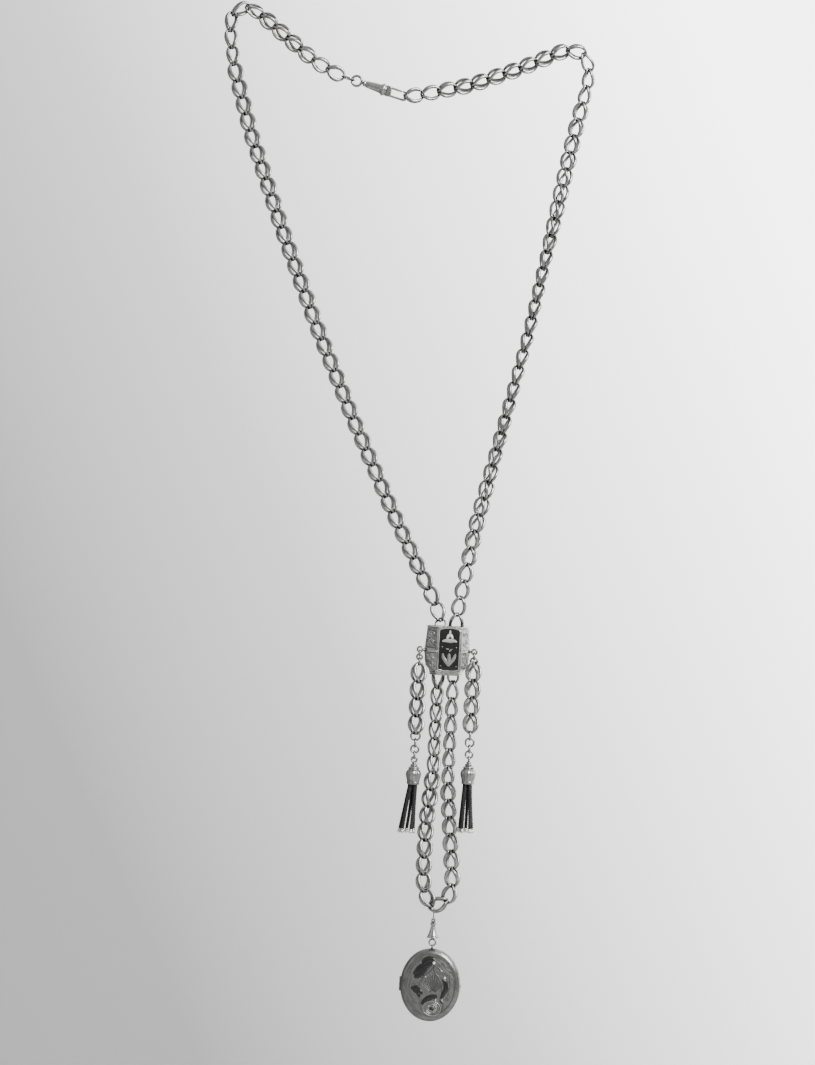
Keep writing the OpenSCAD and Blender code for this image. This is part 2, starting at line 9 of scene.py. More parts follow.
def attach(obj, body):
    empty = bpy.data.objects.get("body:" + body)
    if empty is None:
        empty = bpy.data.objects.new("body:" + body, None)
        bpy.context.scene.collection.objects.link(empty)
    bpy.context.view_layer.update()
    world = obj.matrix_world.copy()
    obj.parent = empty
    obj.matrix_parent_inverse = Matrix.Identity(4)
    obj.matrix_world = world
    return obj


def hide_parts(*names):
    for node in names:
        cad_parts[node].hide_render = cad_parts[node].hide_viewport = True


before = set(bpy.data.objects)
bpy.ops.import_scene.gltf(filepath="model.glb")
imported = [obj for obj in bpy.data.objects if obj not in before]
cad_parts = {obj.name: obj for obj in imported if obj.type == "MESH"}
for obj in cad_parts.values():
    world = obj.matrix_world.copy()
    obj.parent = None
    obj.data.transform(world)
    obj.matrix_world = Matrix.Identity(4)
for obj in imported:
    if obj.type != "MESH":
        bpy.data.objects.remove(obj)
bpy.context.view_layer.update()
MM = 0.001


def new_object(name, data):
    obj = bpy.data.objects.new(name, data)
    bpy.context.scene.collection.objects.link(obj)
    return obj


# ---- Camera: looks straight at the chain, rolled a little ----
ROLL = math.radians(3)
CAM_DISTANCE = 1.5
CAM_X, CAM_Z = 0.0084, -0.2124
VIEW_HEIGHT = 0.4473
SENSOR = 36.0
cam_data = bpy.data.cameras.new("camera")
cam_data.sensor_width = SENSOR
cam_data.lens = SENSOR * CAM_DISTANCE / VIEW_HEIGHT
cam_data.clip_start = 0.05
cam_data.clip_end = 20
camera = new_object("camera", cam_data)
right = Vector((math.cos(ROLL), 0, math.sin(ROLL)))
up = Vector((-math.sin(ROLL), 0, math.cos(ROLL)))
turn = Matrix((right, up, Vector((0, -1, 0)))).transposed().to_4x4()
camera.matrix_world = Matrix.Translation((CAM_X, -CAM_DISTANCE, CAM_Z)) @ turn
bpy.context.scene.camera = camera


# ---- Materials ----
class Nodes:
    """Short ways to add nodes to one material."""

    def __init__(self, name):
        self.mat = bpy.data.materials.new(name)
        self.mat.use_nodes = True
        self.tree = self.mat.node_tree
        self.bsdf = self.tree.nodes["Principled BSDF"]
        self.coords = self.tree.nodes.new("ShaderNodeTexCoord").outputs["Object"]

    def node(self, kind, **inputs):
        n = self.tree.nodes.new("ShaderNode" + kind)
        for key, value in inputs.items():
            n.inputs[key].default_value = value
        return n

    def set(self, **values):
        for key, value in values.items():
            self.bsdf.inputs[key.replace("_", " ")].default_value = value

    def link(self, out, socket):
        self.tree.links.new(out, socket)

    def shade(self, name, out):
        """Drives one input of the shader."""
        self.link(out, self.bsdf.inputs[name])

    def feed(self, values, sockets):
        """Gives each socket its number, its colour or the output that drives it."""
        for value, socket in zip(values, sockets):
            if isinstance(value, (int, float)):
                socket.default_value = value
            elif isinstance(value, tuple):
                socket.default_value = (*value, 1)
            else:
                self.link(value, socket)

    def noise(self, scale, detail=3.0, rough=0.55, stretch=None):
        n = self.node("TexNoise", Scale=scale, Detail=detail, Roughness=rough)
        where = self.coords
        if stretch:
            mapping = self.node("Mapping", Scale=stretch)
            self.link(self.coords, mapping.inputs["Vector"])
            where = mapping.outputs["Vector"]
        self.link(where, n.inputs["Vector"])
        return n.outputs["Fac"]

    def voronoi(self, scale):
        n = self.node("TexVoronoi", Scale=scale)
        self.link(self.coords, n.inputs["Vector"])
        return n.outputs["Distance"]

    def wave(self, scale, distortion, direction="Z"):
        n = self.node("TexWave", Scale=scale, Distortion=distortion, Detail=1.0)
        n.bands_direction = direction
        self.link(self.coords, n.inputs["Vector"])
        return n.outputs["Fac"]

    # Ambient occlusion, used to paint shade into creases and where parts meet.
    def crease(self, distance):
        n = self.node("AmbientOcclusion", Distance=distance)
        n.samples = 8
        return n.outputs["AO"]

    def ramp(self, fac, stops):
        n = self.node("ValToRGB")
        while len(n.color_ramp.elements) < len(stops):
            n.color_ramp.elements.new(0.5)
        for e, (pos, colour) in zip(n.color_ramp.elements, stops):
            e.position = pos
            e.color = (*colour, 1)
        self.link(fac, n.inputs["Fac"])
        return n.outputs["Color"]

    def mix(self, fac, a, b, kind="MIX"):
        n = self.node("Mix")
        n.data_type = "RGBA"
        n.blend_type = kind
        self.feed((fac, a, b), (n.inputs[0], n.inputs[6], n.inputs[7]))
        return n.outputs[2]

    def math(self, op, a, b):
        n = self.node("Math")
        n.operation = op
        self.feed((a, b), n.inputs)
        return n.outputs[0]

    def bump(self, height, strength, distance):
        n = self.node("Bump", Strength=strength, Distance=distance)
        self.link(height, n.inputs["Height"])
        self.shade("Normal", n.outputs["Normal"])


def grey(v, warm=0.0):
    return (v * (1 + warm), v, v * (1 - warm))


def metal(name, light, dark, rough, crease=0.7 * MM, dents=0.25, grain=1.0, rim=0.5):
    """Old silver: bright where it is rubbed, darker in random tarnish patches, with painted shade in the
    creases and fine scratches.

    rim darkens the metal where it turns away from view.
    """
    n = Nodes(name)
    n.set(Metallic=1.0, Specular_Tint=grey(rim) + (1,))
    # Painted shade: ambient occlusion darkens the colour in creases and where parts meet.
    crease_shade = n.ramp(n.crease(crease), [(0.35, grey(0.0)), (0.85, grey(1.0))])
    patches = n.ramp(n.noise(420, 4), [(0.36, grey(0.0)), (0.66, grey(1.0))])
    tone_and_crease_shade = n.mix(0.45, crease_shade, patches, "MULTIPLY")
    n.shade("Base Color", n.mix(tone_and_crease_shade, grey(dark, 0.02), grey(light, 0.012)))
    scratches = n.noise(2600, 2, 0.6, (1, 1, 0.08))
    spread = n.math("MULTIPLY", n.math("ADD", n.noise(900, 3), scratches), 0.16)
    n.shade("Roughness", n.math("ADD", spread, rough - 0.16))
    n.bump(n.math("ADD", n.noise(1500 * grain, 3), n.math("MULTIPLY", scratches, 0.3)), dents, 0.06 * MM)
    return n.mat


def engraved_metal(name, light, dark, rough, depth):
    """Silver cut with fine wavy lines and small punched dots, with painted shade in the creases."""
    n = Nodes(name)
    n.set(Metallic=1.0, Specular_Tint=grey(0.5) + (1,))
    lines = n.wave(330, 7.0, "DIAGONAL")
    dots = n.voronoi(1300)
    cut = n.ramp(lines, [(0.2, grey(1 - depth)), (0.42, grey(1.0))])
    # Painted shade: ambient occlusion darkens the colour in creases.
    crease_shade = n.ramp(n.crease(0.9 * MM), [(0.3, grey(0.0)), (0.85, grey(1.0))])
    tone_and_crease_shade = n.mix(0.6, cut, crease_shade, "MULTIPLY")
    tone_and_crease_shade = n.mix(0.3, tone_and_crease_shade, n.noise(500, 4), "MULTIPLY")
    n.shade("Base Color", n.mix(tone_and_crease_shade, grey(dark), grey(light, 0.012)))
    n.shade("Roughness", n.math("ADD", n.math("MULTIPLY", n.noise(1200), 0.2), rough - 0.1))
    n.bump(n.math("ADD", lines, n.math("MULTIPLY", dots, 0.5)), 0.55, 0.12 * MM)
    return n.mat


def enamel(name, colour, edge):
    """Fired glass enamel: glossy, with a slight ripple and a few pits and dull spots."""
    n = Nodes(name)
    n.set(Metallic=0.0, Coat_Weight=0.25, Coat_Roughness=0.15, Specular_IOR_Level=0.3)
    n.shade("Base Color", n.mix(n.noise(700, 4), colour, edge))
    pits = n.ramp(n.voronoi(1500), [(0.04, grey(0.0)), (0.14, grey(1.0))])
    n.shade("Roughness", n.math("ADD", n.math("MULTIPLY", n.noise(1100), 0.16), 0.1))
    n.bump(n.math("ADD", n.noise(500, 2), n.math("MULTIPLY", pits, 0.4)), 0.2, 0.08 * MM)
    return n.mat


def thread(name):
    """Black silk cord: fine fibres that run round the ply, with a soft sheen."""
    n = Nodes(name)
    n.set(Metallic=0.0, Sheen_Weight=0.1, Sheen_Roughness=0.4, Specular_IOR_Level=0.25)
    fibres = n.noise(5200, 2, 0.6, (1, 1, 0.2))
    n.shade("Base Color", n.mix(fibres, grey(0.004), grey(0.022)))
    n.shade("Roughness", n.math("ADD", n.math("MULTIPLY", fibres, 0.3), 0.45))
    n.bump(fibres, 0.5, 0.08 * MM)
    return n.mat


def lustre(name, value, scale):
    """Pearl or mother of pearl: soft bands under a clear skin."""
    n = Nodes(name)
    n.set(Metallic=0.0, Coat_Weight=0.7, Coat_Roughness=0.08, Roughness=0.3)
    bands = n.wave(scale, 9.0)
    n.shade("Base Color", n.mix(bands, grey(value * 0.82, 0.02), grey(value, 0.01)))
    n.bump(n.noise(1400, 3), 0.15, 0.05 * MM)
    return n.mat


def clear_glass(name):
    n = Nodes(name)
    n.set(Metallic=0.0, Transmission_Weight=0.9, IOR=1.48)
    n.shade("Base Color", n.mix(n.noise(300, 2), grey(0.9), grey(0.97)))
    n.shade("Roughness", n.math("MULTIPLY", n.noise(800, 3), 0.08))
    return n.mat


# The crease value sets how far the painted shade reaches into each metal's creases.
CHAIN = metal("chain_metal", 0.36, 0.02, 0.3, crease=1.8 * MM, rim=0.1)
RING = metal("ring_metal", 0.34, 0.03, 0.3, rim=0.1)
POLISHED = metal("polished_metal", 0.46, 0.08, 0.26, dents=0.12, rim=0.15)
BRIGHT = metal("bright_metal", 0.74, 0.2, 0.24, dents=0.1)
LOCKET = metal("locket_metal", 0.2, 0.08, 0.32, crease=1.2 * MM, dents=0.1, grain=0.5, rim=0.25)
FIELD = engraved_metal("locket_field_metal", 0.2, 0.09, 0.44, 0.18)
ROSETTE = metal("rosette_metal", 0.42, 0.08, 0.36, crease=0.5 * MM)
ORNAMENT = metal("ornament_metal", 0.18, 0.05, 0.46, crease=0.9 * MM)
ENGRAVED = engraved_metal("engraved_metal", 0.5, 0.1, 0.38, 0.4)
# Lit and shaded copies of the engraved metal, for painted light and painted shade on the slide's facets
ENGRAVED_PAINTED_LIT = engraved_metal("engraved_painted_lit_metal", 0.72, 0.26, 0.42, 0.3)
ENGRAVED_PAINTED_SHADE = engraved_metal("engraved_painted_shade_metal", 0.24, 0.05, 0.4, 0.4)
SCROLLS = metal("scroll_metal", 0.56, 0.12, 0.38, crease=0.9 * MM)
CAP = metal("cap_metal", 0.34, 0.04, 0.32, rim=0.2)
BLACK = enamel("black_enamel", grey(0.006), grey(0.016))
PALE = lustre("pale_enamel", 0.62, 240)
DULL = lustre("dull_enamel", 0.2, 240)
PEARL = lustre("pearl", 0.86, 420)
WORN_PEARL = lustre("worn_pearl", 0.34, 420)
CORD = thread("tassel_cord")
GLASS = clear_glass("glass")


# ---- Mesh building, in millimetres ----
def interp(table, x):
    return float(np.interp(x, [p[0] for p in table], [p[1] for p in table]))


def angles(count):
    """count equal steps round a circle."""
    return [2 * math.pi * k / count for k in range(count)]


def smooth_line(points, times=2, closed=False):
    """Corner cutting: a smooth line close to the points."""
    p = [np.array(q, float) for q in points]
    for _ in range(times):
        out = [] if closed else [p[0]]
        n = len(p)
        for i in range(n if closed else n - 1):
            a, b = p[i], p[(i + 1) % n]
            out += [a * 0.75 + b * 0.25, a * 0.25 + b * 0.75]
        if not closed:
            out.append(p[-1])
        p = out
    return p


class Shape:
    """Collects vertices and faces, then becomes one object."""

    def __init__(self):
        self.verts, self.faces, self.mat_of = [], [], []
        self.place = Matrix.Identity(4)
        self.slot = 0

    def add(self, verts, faces):
        base = len(self.verts)
        self.verts += [self.place @ Vector(v) for v in verts]
        self.faces += [tuple(base + i for i in f) for f in faces]
        self.mat_of += [self.slot] * len(faces)

    def grid(self, rows, wrap_rows=False, cap=True):
        """Quads between closed rows of points; a one-point row is a pole."""
        verts, faces, start = [], [], []
        for r in rows:
            start.append(len(verts))
            verts += [tuple(p) for p in r]
        pairs = list(zip(range(len(rows) - 1), range(1, len(rows))))
        if wrap_rows:
            pairs.append((len(rows) - 1, 0))
        for a, b in pairs:
            na, nb = len(rows[a]), len(rows[b])
            for k in range(max(na, nb)):
                m = (k + 1) % max(na, nb)
                if na == 1:
                    faces.append((start[a], start[b] + m, start[b] + k))
                elif nb == 1:
                    faces.append((start[a] + k, start[a] + m, start[b]))
                else:
                    faces.append((start[a] + k, start[a] + m, start[b] + m, start[b] + k))
        if cap and not wrap_rows:
            if len(rows[0]) > 2:
                faces.append(tuple(start[0] + k for k in reversed(range(len(rows[0])))))
            if len(rows[-1]) > 2:
                faces.append(tuple(start[-1] + k for k in range(len(rows[-1]))))
        self.add(verts, faces)

    def tube(self, points, radius, sides=10, closed=False, flat=1.0, flat_axis=None):
        """A round wire along points. radius is a number or one number a point."""
        p = [Vector(q) for q in points]
        n = len(p)
        radii = [radius] * n if isinstance(radius, (int, float)) else list(radius)
        tangents = []
        for i in range(n):
            a = p[(i - 1) % n] if closed or i > 0 else p[i]
            b = p[(i + 1) % n] if closed or i < n - 1 else p[i]
            tangents.append((b - a).normalized())
        side = tangents[0].orthogonal().normalized()
        if flat_axis is not None:
            side = (Vector(flat_axis) - tangents[0] * tangents[0].dot(Vector(flat_axis))).normalized()
        sides_at = []
        for t in tangents:
            side = (side - t * side.dot(t)).normalized()
            sides_at.append(side.copy())
        twist = 0.0
        if closed:
            last = sides_at[-1] - tangents[0] * sides_at[-1].dot(tangents[0])
            last.normalize()
            twist = math.atan2(tangents[0].dot(last.cross(sides_at[0])), last.dot(sides_at[0]))
        rows = []
        for i in range(n):
            a = twist * i / n
            u = sides_at[i]
            v = tangents[i].cross(u)
            row = []
            for k in range(sides):
                w = 2 * math.pi * k / sides + a
                row.append(p[i] + (u * math.cos(w) + v * math.sin(w) * flat) * radii[i])
            rows.append(row)
        self.grid(rows, wrap_rows=closed)

    def ring(self, centre, r, wire, edge_on=False, count=28):
        c = Vector(centre)
        pts = []
        for a in angles(count):
            x, z = r * math.cos(a), r * math.sin(a)
            pts.append(c + (Vector((0, x, z)) if edge_on else Vector((x, 0, z))))
        self.tube(pts, wire / 2, 8, closed=True)

    def lathe(self, profile, count=32, flutes=None):
        """Turns (radius, z) round Z. flutes(z) gives the depth of 14 shallow hollows at that height."""
        rows = []
        for r, z in profile:
            if r < 1e-6:
                rows.append([(0, 0, z)])
                continue
            row = []
            for a in angles(count):
                depth = flutes(z) if flutes else 0
                rr = r * (1 - depth * (0.5 + 0.5 * math.cos(14 * a)))
                row.append((rr * math.cos(a), rr * math.sin(a), z))
            rows.append(row)
        self.grid(rows, cap=profile[0][0] > 1e-6 or profile[-1][0] > 1e-6)

    def prism(self, outline, y0, y1):
        """An outline in XZ, pushed from y0 to y1."""
        self.grid([[(x, y0, z) for x, z in outline], [(x, y1, z) for x, z in outline]])

    def ball(self, centre, r):
        rows = []
        for i in range(9):
            a = math.pi * i / 8
            rr, h = r * math.sin(a), -r * math.cos(a)
            row = [Vector(centre) + Vector((rr * math.cos(b), rr * math.sin(b), h)) for b in angles(14)]
            rows.append(row[:1] if i in (0, 8) else row)
        self.grid(rows)

    def make(self, name, body, materials, nodes=(), slot="chain_metal", smooth=True, bevel=0.0):
        mesh = bpy.data.meshes.new(name)
        mesh.from_pydata([tuple(v * MM) for v in self.verts], [], self.faces)
        mesh.validate()
        for m in materials if isinstance(materials, (list, tuple)) else [materials]:
            mesh.materials.append(m)
        for poly, index in zip(mesh.polygons, self.mat_of):
            poly.material_index = index
            poly.use_smooth = smooth
        obj = new_object(name, mesh)
        fix_normals(mesh)
        if bevel:
            b = obj.modifiers.new("bevel", "BEVEL")
            b.width = bevel * MM
            b.segments = 2
            b.limit_method = "ANGLE"
            b.angle_limit = math.radians(25)
        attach(obj, body)
        if nodes:
            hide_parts(*nodes)


def fix_normals(mesh):
    b = bmesh.new()
    b.from_mesh(mesh)
    bmesh.ops.recalc_face_normals(b, faces=b.faces)
    b.to_mesh(mesh)
    b.free()


# ---- Chain: the same paths as the CAD part. Runs are (number of links, heading in degrees) ----
PITCH = 7.13
LINK_H = 8.5
RUN_LINKS = 9
LOOP_START = (24.4, -313.0)
LOOP_RUNS = [(3, -95), (3, -90), (1, -84), (1, -60), (1, 26), (1, 76), (6, 95.7)]
LEFT_RUNS = [
    (RUN_LINKS, 90), (1, 110), (6, 118), (6, 116), (6, 114.5), (6, 112.5), (6, 111), (4, 107), (2, 99),
    (1, 88), (1, 34), (1, -28), (4, -38), (1, -30), (1, -24)]
RIGHT_RUNS = [
    (RUN_LINKS, 90), (1, 87), (5, 81), (12, 77.8), (12, 80), (3, 78), (1, 86),
    (1, 115), (1, 172), (3, 205), (3, 201.5), (3, 194), (1, 188)]
# Turn of the links about the chain's own line, in degrees, by link number
LEFT_TWISTS = [
    (0, 36), (4, 30), (5, 12), (6, 0), (9, 0), (12, 26), (24, 24), (34, 30), (41, 28), (45, 14), (49, 32),
    (51, 36), (54, 0)]
RIGHT_TWISTS = [
    (0, 20), (4, 16), (6, 0), (9, 0), (12, 10), (19, 70), (24, 85), (31, 80), (36, 40), (40, 16), (43, 10),
    (46, 34), (51, 34), (54, 0)]
LOOP_TWISTS = [(0, 36), (2, 44), (4, 26), (7, 16), (9, 12), (11, 24), (16, 18)]


def walk(start, runs):
    path = [Vector(start)]
    for count, heading in runs:
        a = math.radians(heading)
        for _ in range(count):
            path.append(path[-1] + PITCH * Vector((math.cos(a), math.sin(a))))
    return path


LOOP = walk(LOOP_START, LOOP_RUNS)
LEFT = walk(LOOP_START, LEFT_RUNS)
RIGHT = walk(LOOP[-1], RIGHT_RUNS)


def link_line(full):
    """Centre line of one folded wire loop: waist at z 0, a round head on each side at z LINK_H.

    The line comes with the wire's radius at each point: thin where links meet, thicker along the sides.
    full is 1 for a stout link and 0 for a narrow one, which keeps to the CAD link's outline.
    """
    front = [(0, 0.44), (0.7, 0.5 + 0.1 * full), (1.4, 0.85 + 0.35 * full), (2.5, 1.4 + 0.65 * full),
             (3.5, 1.8 + 0.65 * full), (4.4, 2.15 + 0.45 * full), (5.5, 2.26 + 0.36 * full),
             (6.5, 2.1 + 0.25 * full), (7.4, 1.75), (8.1, 0.95), (LINK_H, 0)]
    side = [(0, 0), (0.1, 1.45), (1.1, 2.1), (2.4, 2.0), (7, 0.5), (LINK_H, 0.46)]
    radius = [(0.5, 0.4 + 0.05 * full), (2.2, 0.55 + 0.15 * full), (6.4, 0.55 + 0.15 * full),
              (7.4, 0.44 + 0.08 * full), (LINK_H, 0.4 + 0.05 * full)]
    quarter = []
    for y in np.linspace(0, 1.3, 4):
        quarter.append((0.44, y, 0))
    for z in (0.25, 0.7, 1.2, 1.9, 2.6, 3.4, 4.2, 5.0, 5.8, 6.5, 7.1, 7.6, 8.0, 8.3, 8.45):
        quarter.append((interp(front, z), interp(side, z), z))
    quarter.append((0.0, 0.46, LINK_H))
    half = quarter + [(-x, y, z) for x, y, z in quarter[-2::-1]]
    other = [(-x, -y, z) for x, y, z in half[1:-1]]
    p = np.array(half + other)
    for _ in range(3):
        p = (np.roll(p, 1, 0) + 2 * p + np.roll(p, -1, 0)) / 4
    return p, [interp(radius, q[2]) for q in p]


LINK = link_line(1.0)
NARROW_LINK = link_line(0.0)
WIRE_SIDES = 9
# Stout links stay within these, so that the chain keeps to the CAD part's box
STOUT_X = (-75.0, 72.8)
STOUT_TOP = 3.2


def link_place(waist, heads, twist):
    d = heads - waist
    at = Matrix.Translation((waist.x, 0, waist.y))
    return at @ Matrix.Rotation(math.atan2(d.x, d.y), 4, "Y") @ Matrix.Rotation(math.radians(twist), 4, "Z")


def links(shape, path, first, count, twists, backward, narrow=False):
    for i in range(first, first + count):
        a, b = (path[i + 1], path[i]) if backward else (path[i], path[i + 1])
        shape.place = link_place(a, b, interp(twists, i))
        outside = min(a.x, b.x) < STOUT_X[0] or max(a.x, b.x) > STOUT_X[1] or max(a.y, b.y) > STOUT_TOP
        shape.tube(*(NARROW_LINK if narrow or outside else LINK), WIRE_SIDES, closed=True)
    shape.place = Matrix.Identity(4)


LEFT_PARTS = [RUN_LINKS, 7, 7, 8, 8, 7, 3, 6]
RIGHT_PARTS = [RUN_LINKS, 7, 7, 7, 7, 6, 2, 10]
for n in range(1, 8):
    if n < 6:
        names = ["neck_left_links_%d" % (6 - n), "neck_right_links_%d" % (6 - n)]
        body = "neck_band_%d" % (6 - n)
    elif n == 6:
        names, body = ["neck_bend_left_links", "neck_bend_right_links"], "hung_links"
    else:
        names, body = ["back_left_links", "back_right_links"], "back_chain"
    for name, path, parts, twists, backward in (
            (names[0], LEFT, LEFT_PARTS, LEFT_TWISTS, False),
            (names[1], RIGHT, RIGHT_PARTS, RIGHT_TWISTS, True)):
        s = Shape()
        links(s, path, sum(parts[:n]), parts[n], twists, backward)
        s.make("wire_" + name, body, CHAIN, [name])
s = Shape()
links(s, LEFT, 0, RUN_LINKS, LEFT_TWISTS, False, True)
links(s, RIGHT, 0, RUN_LINKS, RIGHT_TWISTS, True, True)
s.make("wire_slide_run_links", "slide_run", CHAIN, ["slide_run_links"])
UPPER_N = 3
s = Shape()
links(s, LOOP, 0, UPPER_N, LOOP_TWISTS, True)
links(s, LOOP, len(LOOP) - 1 - UPPER_N, UPPER_N, LOOP_TWISTS, True)
s.make("wire_loop_upper_links", "loop_upper", CHAIN, ["loop_upper_links"])
s = Shape()
links(s, LOOP, UPPER_N, len(LOOP) - 1 - 2 * UPPER_N, LOOP_TWISTS, True)
s.make("wire_loop_lower_links", "loop_lower", CHAIN, ["loop_lower_links"])


# ---- Swivels ----
EYE_R = 2.1
EYE_WIRE = 0.9
HOOK_TIP = 22.85
HOOK_ARM = 1.05
RIVET_Z = 14.2
NOSE = 0.9


def arc(cx, cz, r, a0, a1, count):
    out = []
    for i in range(count):
        a = math.radians(a0 + (a1 - a0) * i / (count - 1))
        out.append((cx + r * math.cos(a), cz + r * math.sin(a)))
    return out


# Outlines of the two barrels as (radius, height above the eye's centre)
COLLARED = [
    (0.8, 3.0), (1.15, 3.0), (1.34, 3.15), (1.34, 3.6), (1.12, 3.8), (1.2, 4.1), (1.42, 4.5), (1.6, 6.5),
    (1.78, 8.5), (1.95, 10.4), (2.1, 10.9), (2.5, 11.1), (2.68, 11.4), (2.68, 11.9), (2.5, 12.2),
    (2.2, 12.35), (2.2, 12.6), (2.3, 12.75), (2.2, 13.0), (0, 13.0)]
BELL = [
    (0.8, 3.0), (3.5, 3.0), (3.82, 3.2), (3.9, 3.5), (3.8, 3.85), (3.4, 4.1), (3.2, 4.25), (3.3, 4.5),
    (3.1, 5.0), (2.6, 6.2), (2.2, 7.5), (1.85, 8.9), (1.6, 10.1), (1.4, 11.0), (1.45, 11.2), (1.8, 11.45),
    (1.98, 11.9), (1.98, 12.3), (1.8, 12.75), (1.68, 13.0), (0, 13.0)]


def swivel(place, hole, bodies, nodes, prefix, outline, wire, eye_turn=0.0):
    """The five pieces of one swivel. bodies and nodes are in the order eye, barrel, hook, gate, rivet."""
    out = hole + HOOK_ARM
    bend = HOOK_TIP - out
    eye = Shape()
    eye.place = place @ Matrix.Rotation(eye_turn, 4, "Z")
    eye.ring((0, 0, 0), EYE_R, EYE_WIRE + 0.2, count=36)
    eye.lathe([(0.7, 1.75), (0.72, 2.6), (0.66, 4.9), (1.05, 5.0), (1.05, 5.8), (0, 5.85)], 18)
    eye.make(prefix + "_eye", bodies[0], RING, [nodes[0]], "bright_metal")
    barrel = Shape()
    barrel.place = place
    barrel.lathe(outline, 36)
    barrel.make(prefix + "_barrel", bodies[1], POLISHED, [nodes[1]], "bright_metal")
    hook = Shape()
    hook.place = place
    mid = hole + HOOK_ARM / 2
    line = [(mid * 0.9, 14.2), (mid, 15.6), (mid, 17.5), (mid, bend)]
    line += arc(0, bend, mid, 12, 168, 14)
    line += [(-mid, bend), (-mid, bend - NOSE)]
    line = smooth_line([(x, 0, z) for x, z in line], 1)
    size = np.linspace(1, 0.78, len(line)) * 0.53
    hook.tube(line, size, 12, flat=wire, flat_axis=(1, 0, 0))
    cheek = [(-out + 0.02, 12.9), (out - 0.02, 12.9), (out - 0.02, 14.4), (out - 0.5, 15.4),
             (-out + 0.9, 15.2)]
    cheek += arc(-out + 0.75, RIVET_Z, 0.74, 80, 180, 7)
    hook.prism(cheek, -1.38, -0.62)
    hook.prism(cheek, 0.62, 1.38)
    shank = [(0.35, 12.9), (out - 0.04, 12.9), (out - 0.04, 14.6), (out - 0.5, 15.6), (0.35, 15.2)]
    hook.prism(shank, -0.7, 0.7)
    hook.make(prefix + "_hook", bodies[2], POLISHED, [nodes[2]], "bright_metal", bevel=0.12)
    gate = Shape()
    gate.place = place
    top = bend - NOSE - 0.15
    x0 = -out + 0.1
    blade = [(x0, 14.0), (x0, 15.6), (x0 - 0.02, 16.0), (x0, 16.6), (x0 + 0.05, top - 0.3), (x0 + 0.2, top),
             (x0 + 0.75, top), (x0 + 0.9, top - 0.3), (x0 + 0.95, 15.4), (x0 + 1.25, 14.5), (x0 + 1.1, 13.7),
             (x0 + 0.5, 13.5)]
    gate.prism(blade, -0.48, 0.48)
    gate.make(prefix + "_gate", bodies[3], BRIGHT, [nodes[3]], "bright_metal", bevel=0.1)
    rivet = Shape()
    rivet.place = place @ Matrix.Translation((-out + 0.7, 0, RIVET_Z)) @ Matrix.Rotation(math.pi / 2, 4, "X")
    rivet.lathe([(0, -1.52), (0.3, -1.48), (0.46, -1.36), (0.38, -1.3), (0.38, 1.3), (0.46, 1.36),
                 (0.3, 1.48), (0, 1.52)], 16)
    rivet.make(prefix + "_rivet", bodies[4], RING, [nodes[4]], "bright_metal")


clasp_from, clasp_to = LEFT[-1], RIGHT[-1]
clasp_dir = (clasp_to - clasp_from).normalized()
clasp_angle = math.atan2(clasp_dir.x, clasp_dir.y)
clasp_eye = (clasp_to - clasp_from).length - (HOOK_TIP - HOOK_ARM - 0.9)
on_clasp = Matrix.Translation((clasp_from.x, 0, clasp_from.y)) @ Matrix.Rotation(clasp_angle, 4, "Y")
swivel(on_clasp @ Matrix.Translation((0, 0, clasp_eye)), 1.15,
       ["back_swivel_eye_turn", "back_chain", "back_chain", "back_gate", "back_chain"],
       ["back_swivel_eye", "back_swivel_barrel", "back_swivel_hook", "back_swivel_gate", "back_swivel_rivet"],
       "clasp", COLLARED, 1.3)
JUMP_R = 2.6
JUMP_WIRE = 0.8
s = Shape()
s.place = on_clasp @ Matrix.Translation((0, 0, clasp_eye - EYE_R - JUMP_R + (EYE_WIRE + JUMP_WIRE) / 2 + 0.1))
s.ring((0, 0, 0), JUMP_R, JUMP_WIRE, True, 36)
s.make("jump_ring", "back_chain", RING, ["back_jump_ring"])

SWIVEL_SCALE = 0.64
# The locket's hook hangs in this link of the loop, on one side of its head
HOOKED_LINK = 8
waist = LOOP[HOOKED_LINK + 1]
hooked = (LOOP[HOOKED_LINK] - waist).normalized()
hook_wire = waist + 6.5 * hooked + 0.9 * Vector((-hooked.y, hooked.x))
locket_x = hook_wire.x
eye_z = hook_wire.y - SWIVEL_SCALE * (HOOK_TIP - HOOK_ARM / 2)
on_swivel = (Matrix.Translation((locket_x, 0, eye_z)) @ Matrix.Rotation(math.pi / 2, 4, "Z")
             @ Matrix.Scale(SWIVEL_SCALE, 4))
swivel(on_swivel, 2.0,
       ["locket_eye", "locket_hook", "locket_hook", "locket_gate", "locket_hook"],
       ["locket_swivel_eye", "locket_swivel_barrel", "locket_swivel_hook", "locket_swivel_gate",
        "locket_swivel_rivet"],
       "locket_swivel", BELL, 0.92, -math.pi / 2)


# ---- Slide: a faceted barrel, wider at its middle, with an enamelled panel ----
slide_x = (LEFT[RUN_LINKS].x + RIGHT[RUN_LINKS].x) / 2
SLIDE_TOP = -250.7
SLIDE_WALL = 0.45
BACK_Y = 3.95
BACK_SET_IN = 0.3
PANEL_SHIFT = 0.7
PANEL_HALF = 4.75
# Height below the top, half width, front of the middle facet, front of the sides
SLIDE_LEVELS = [
    (0.0, 8.45, -6.9, -4.4), (0.5, 8.65, -7.05, -4.5), (4.8, 9.0, -7.4, -4.6), (9.9, 9.45, -7.75, -4.7),
    (10.2, 9.6, -7.78, -4.7), (11.2, 9.6, -7.78, -4.7), (11.5, 9.42, -7.74, -4.6), (14.6, 9.2, -7.5, -4.5),
    (16.6, 8.75, -7.3, -4.3), (18.4, 7.3, -7.05, -3.9), (19.3, 6.92, -6.9, -3.7), (19.8, 6.78, -6.9, -3.6),
    (20.6, 6.7, -6.8, -3.6)]
KEYS = np.array(SLIDE_LEVELS)


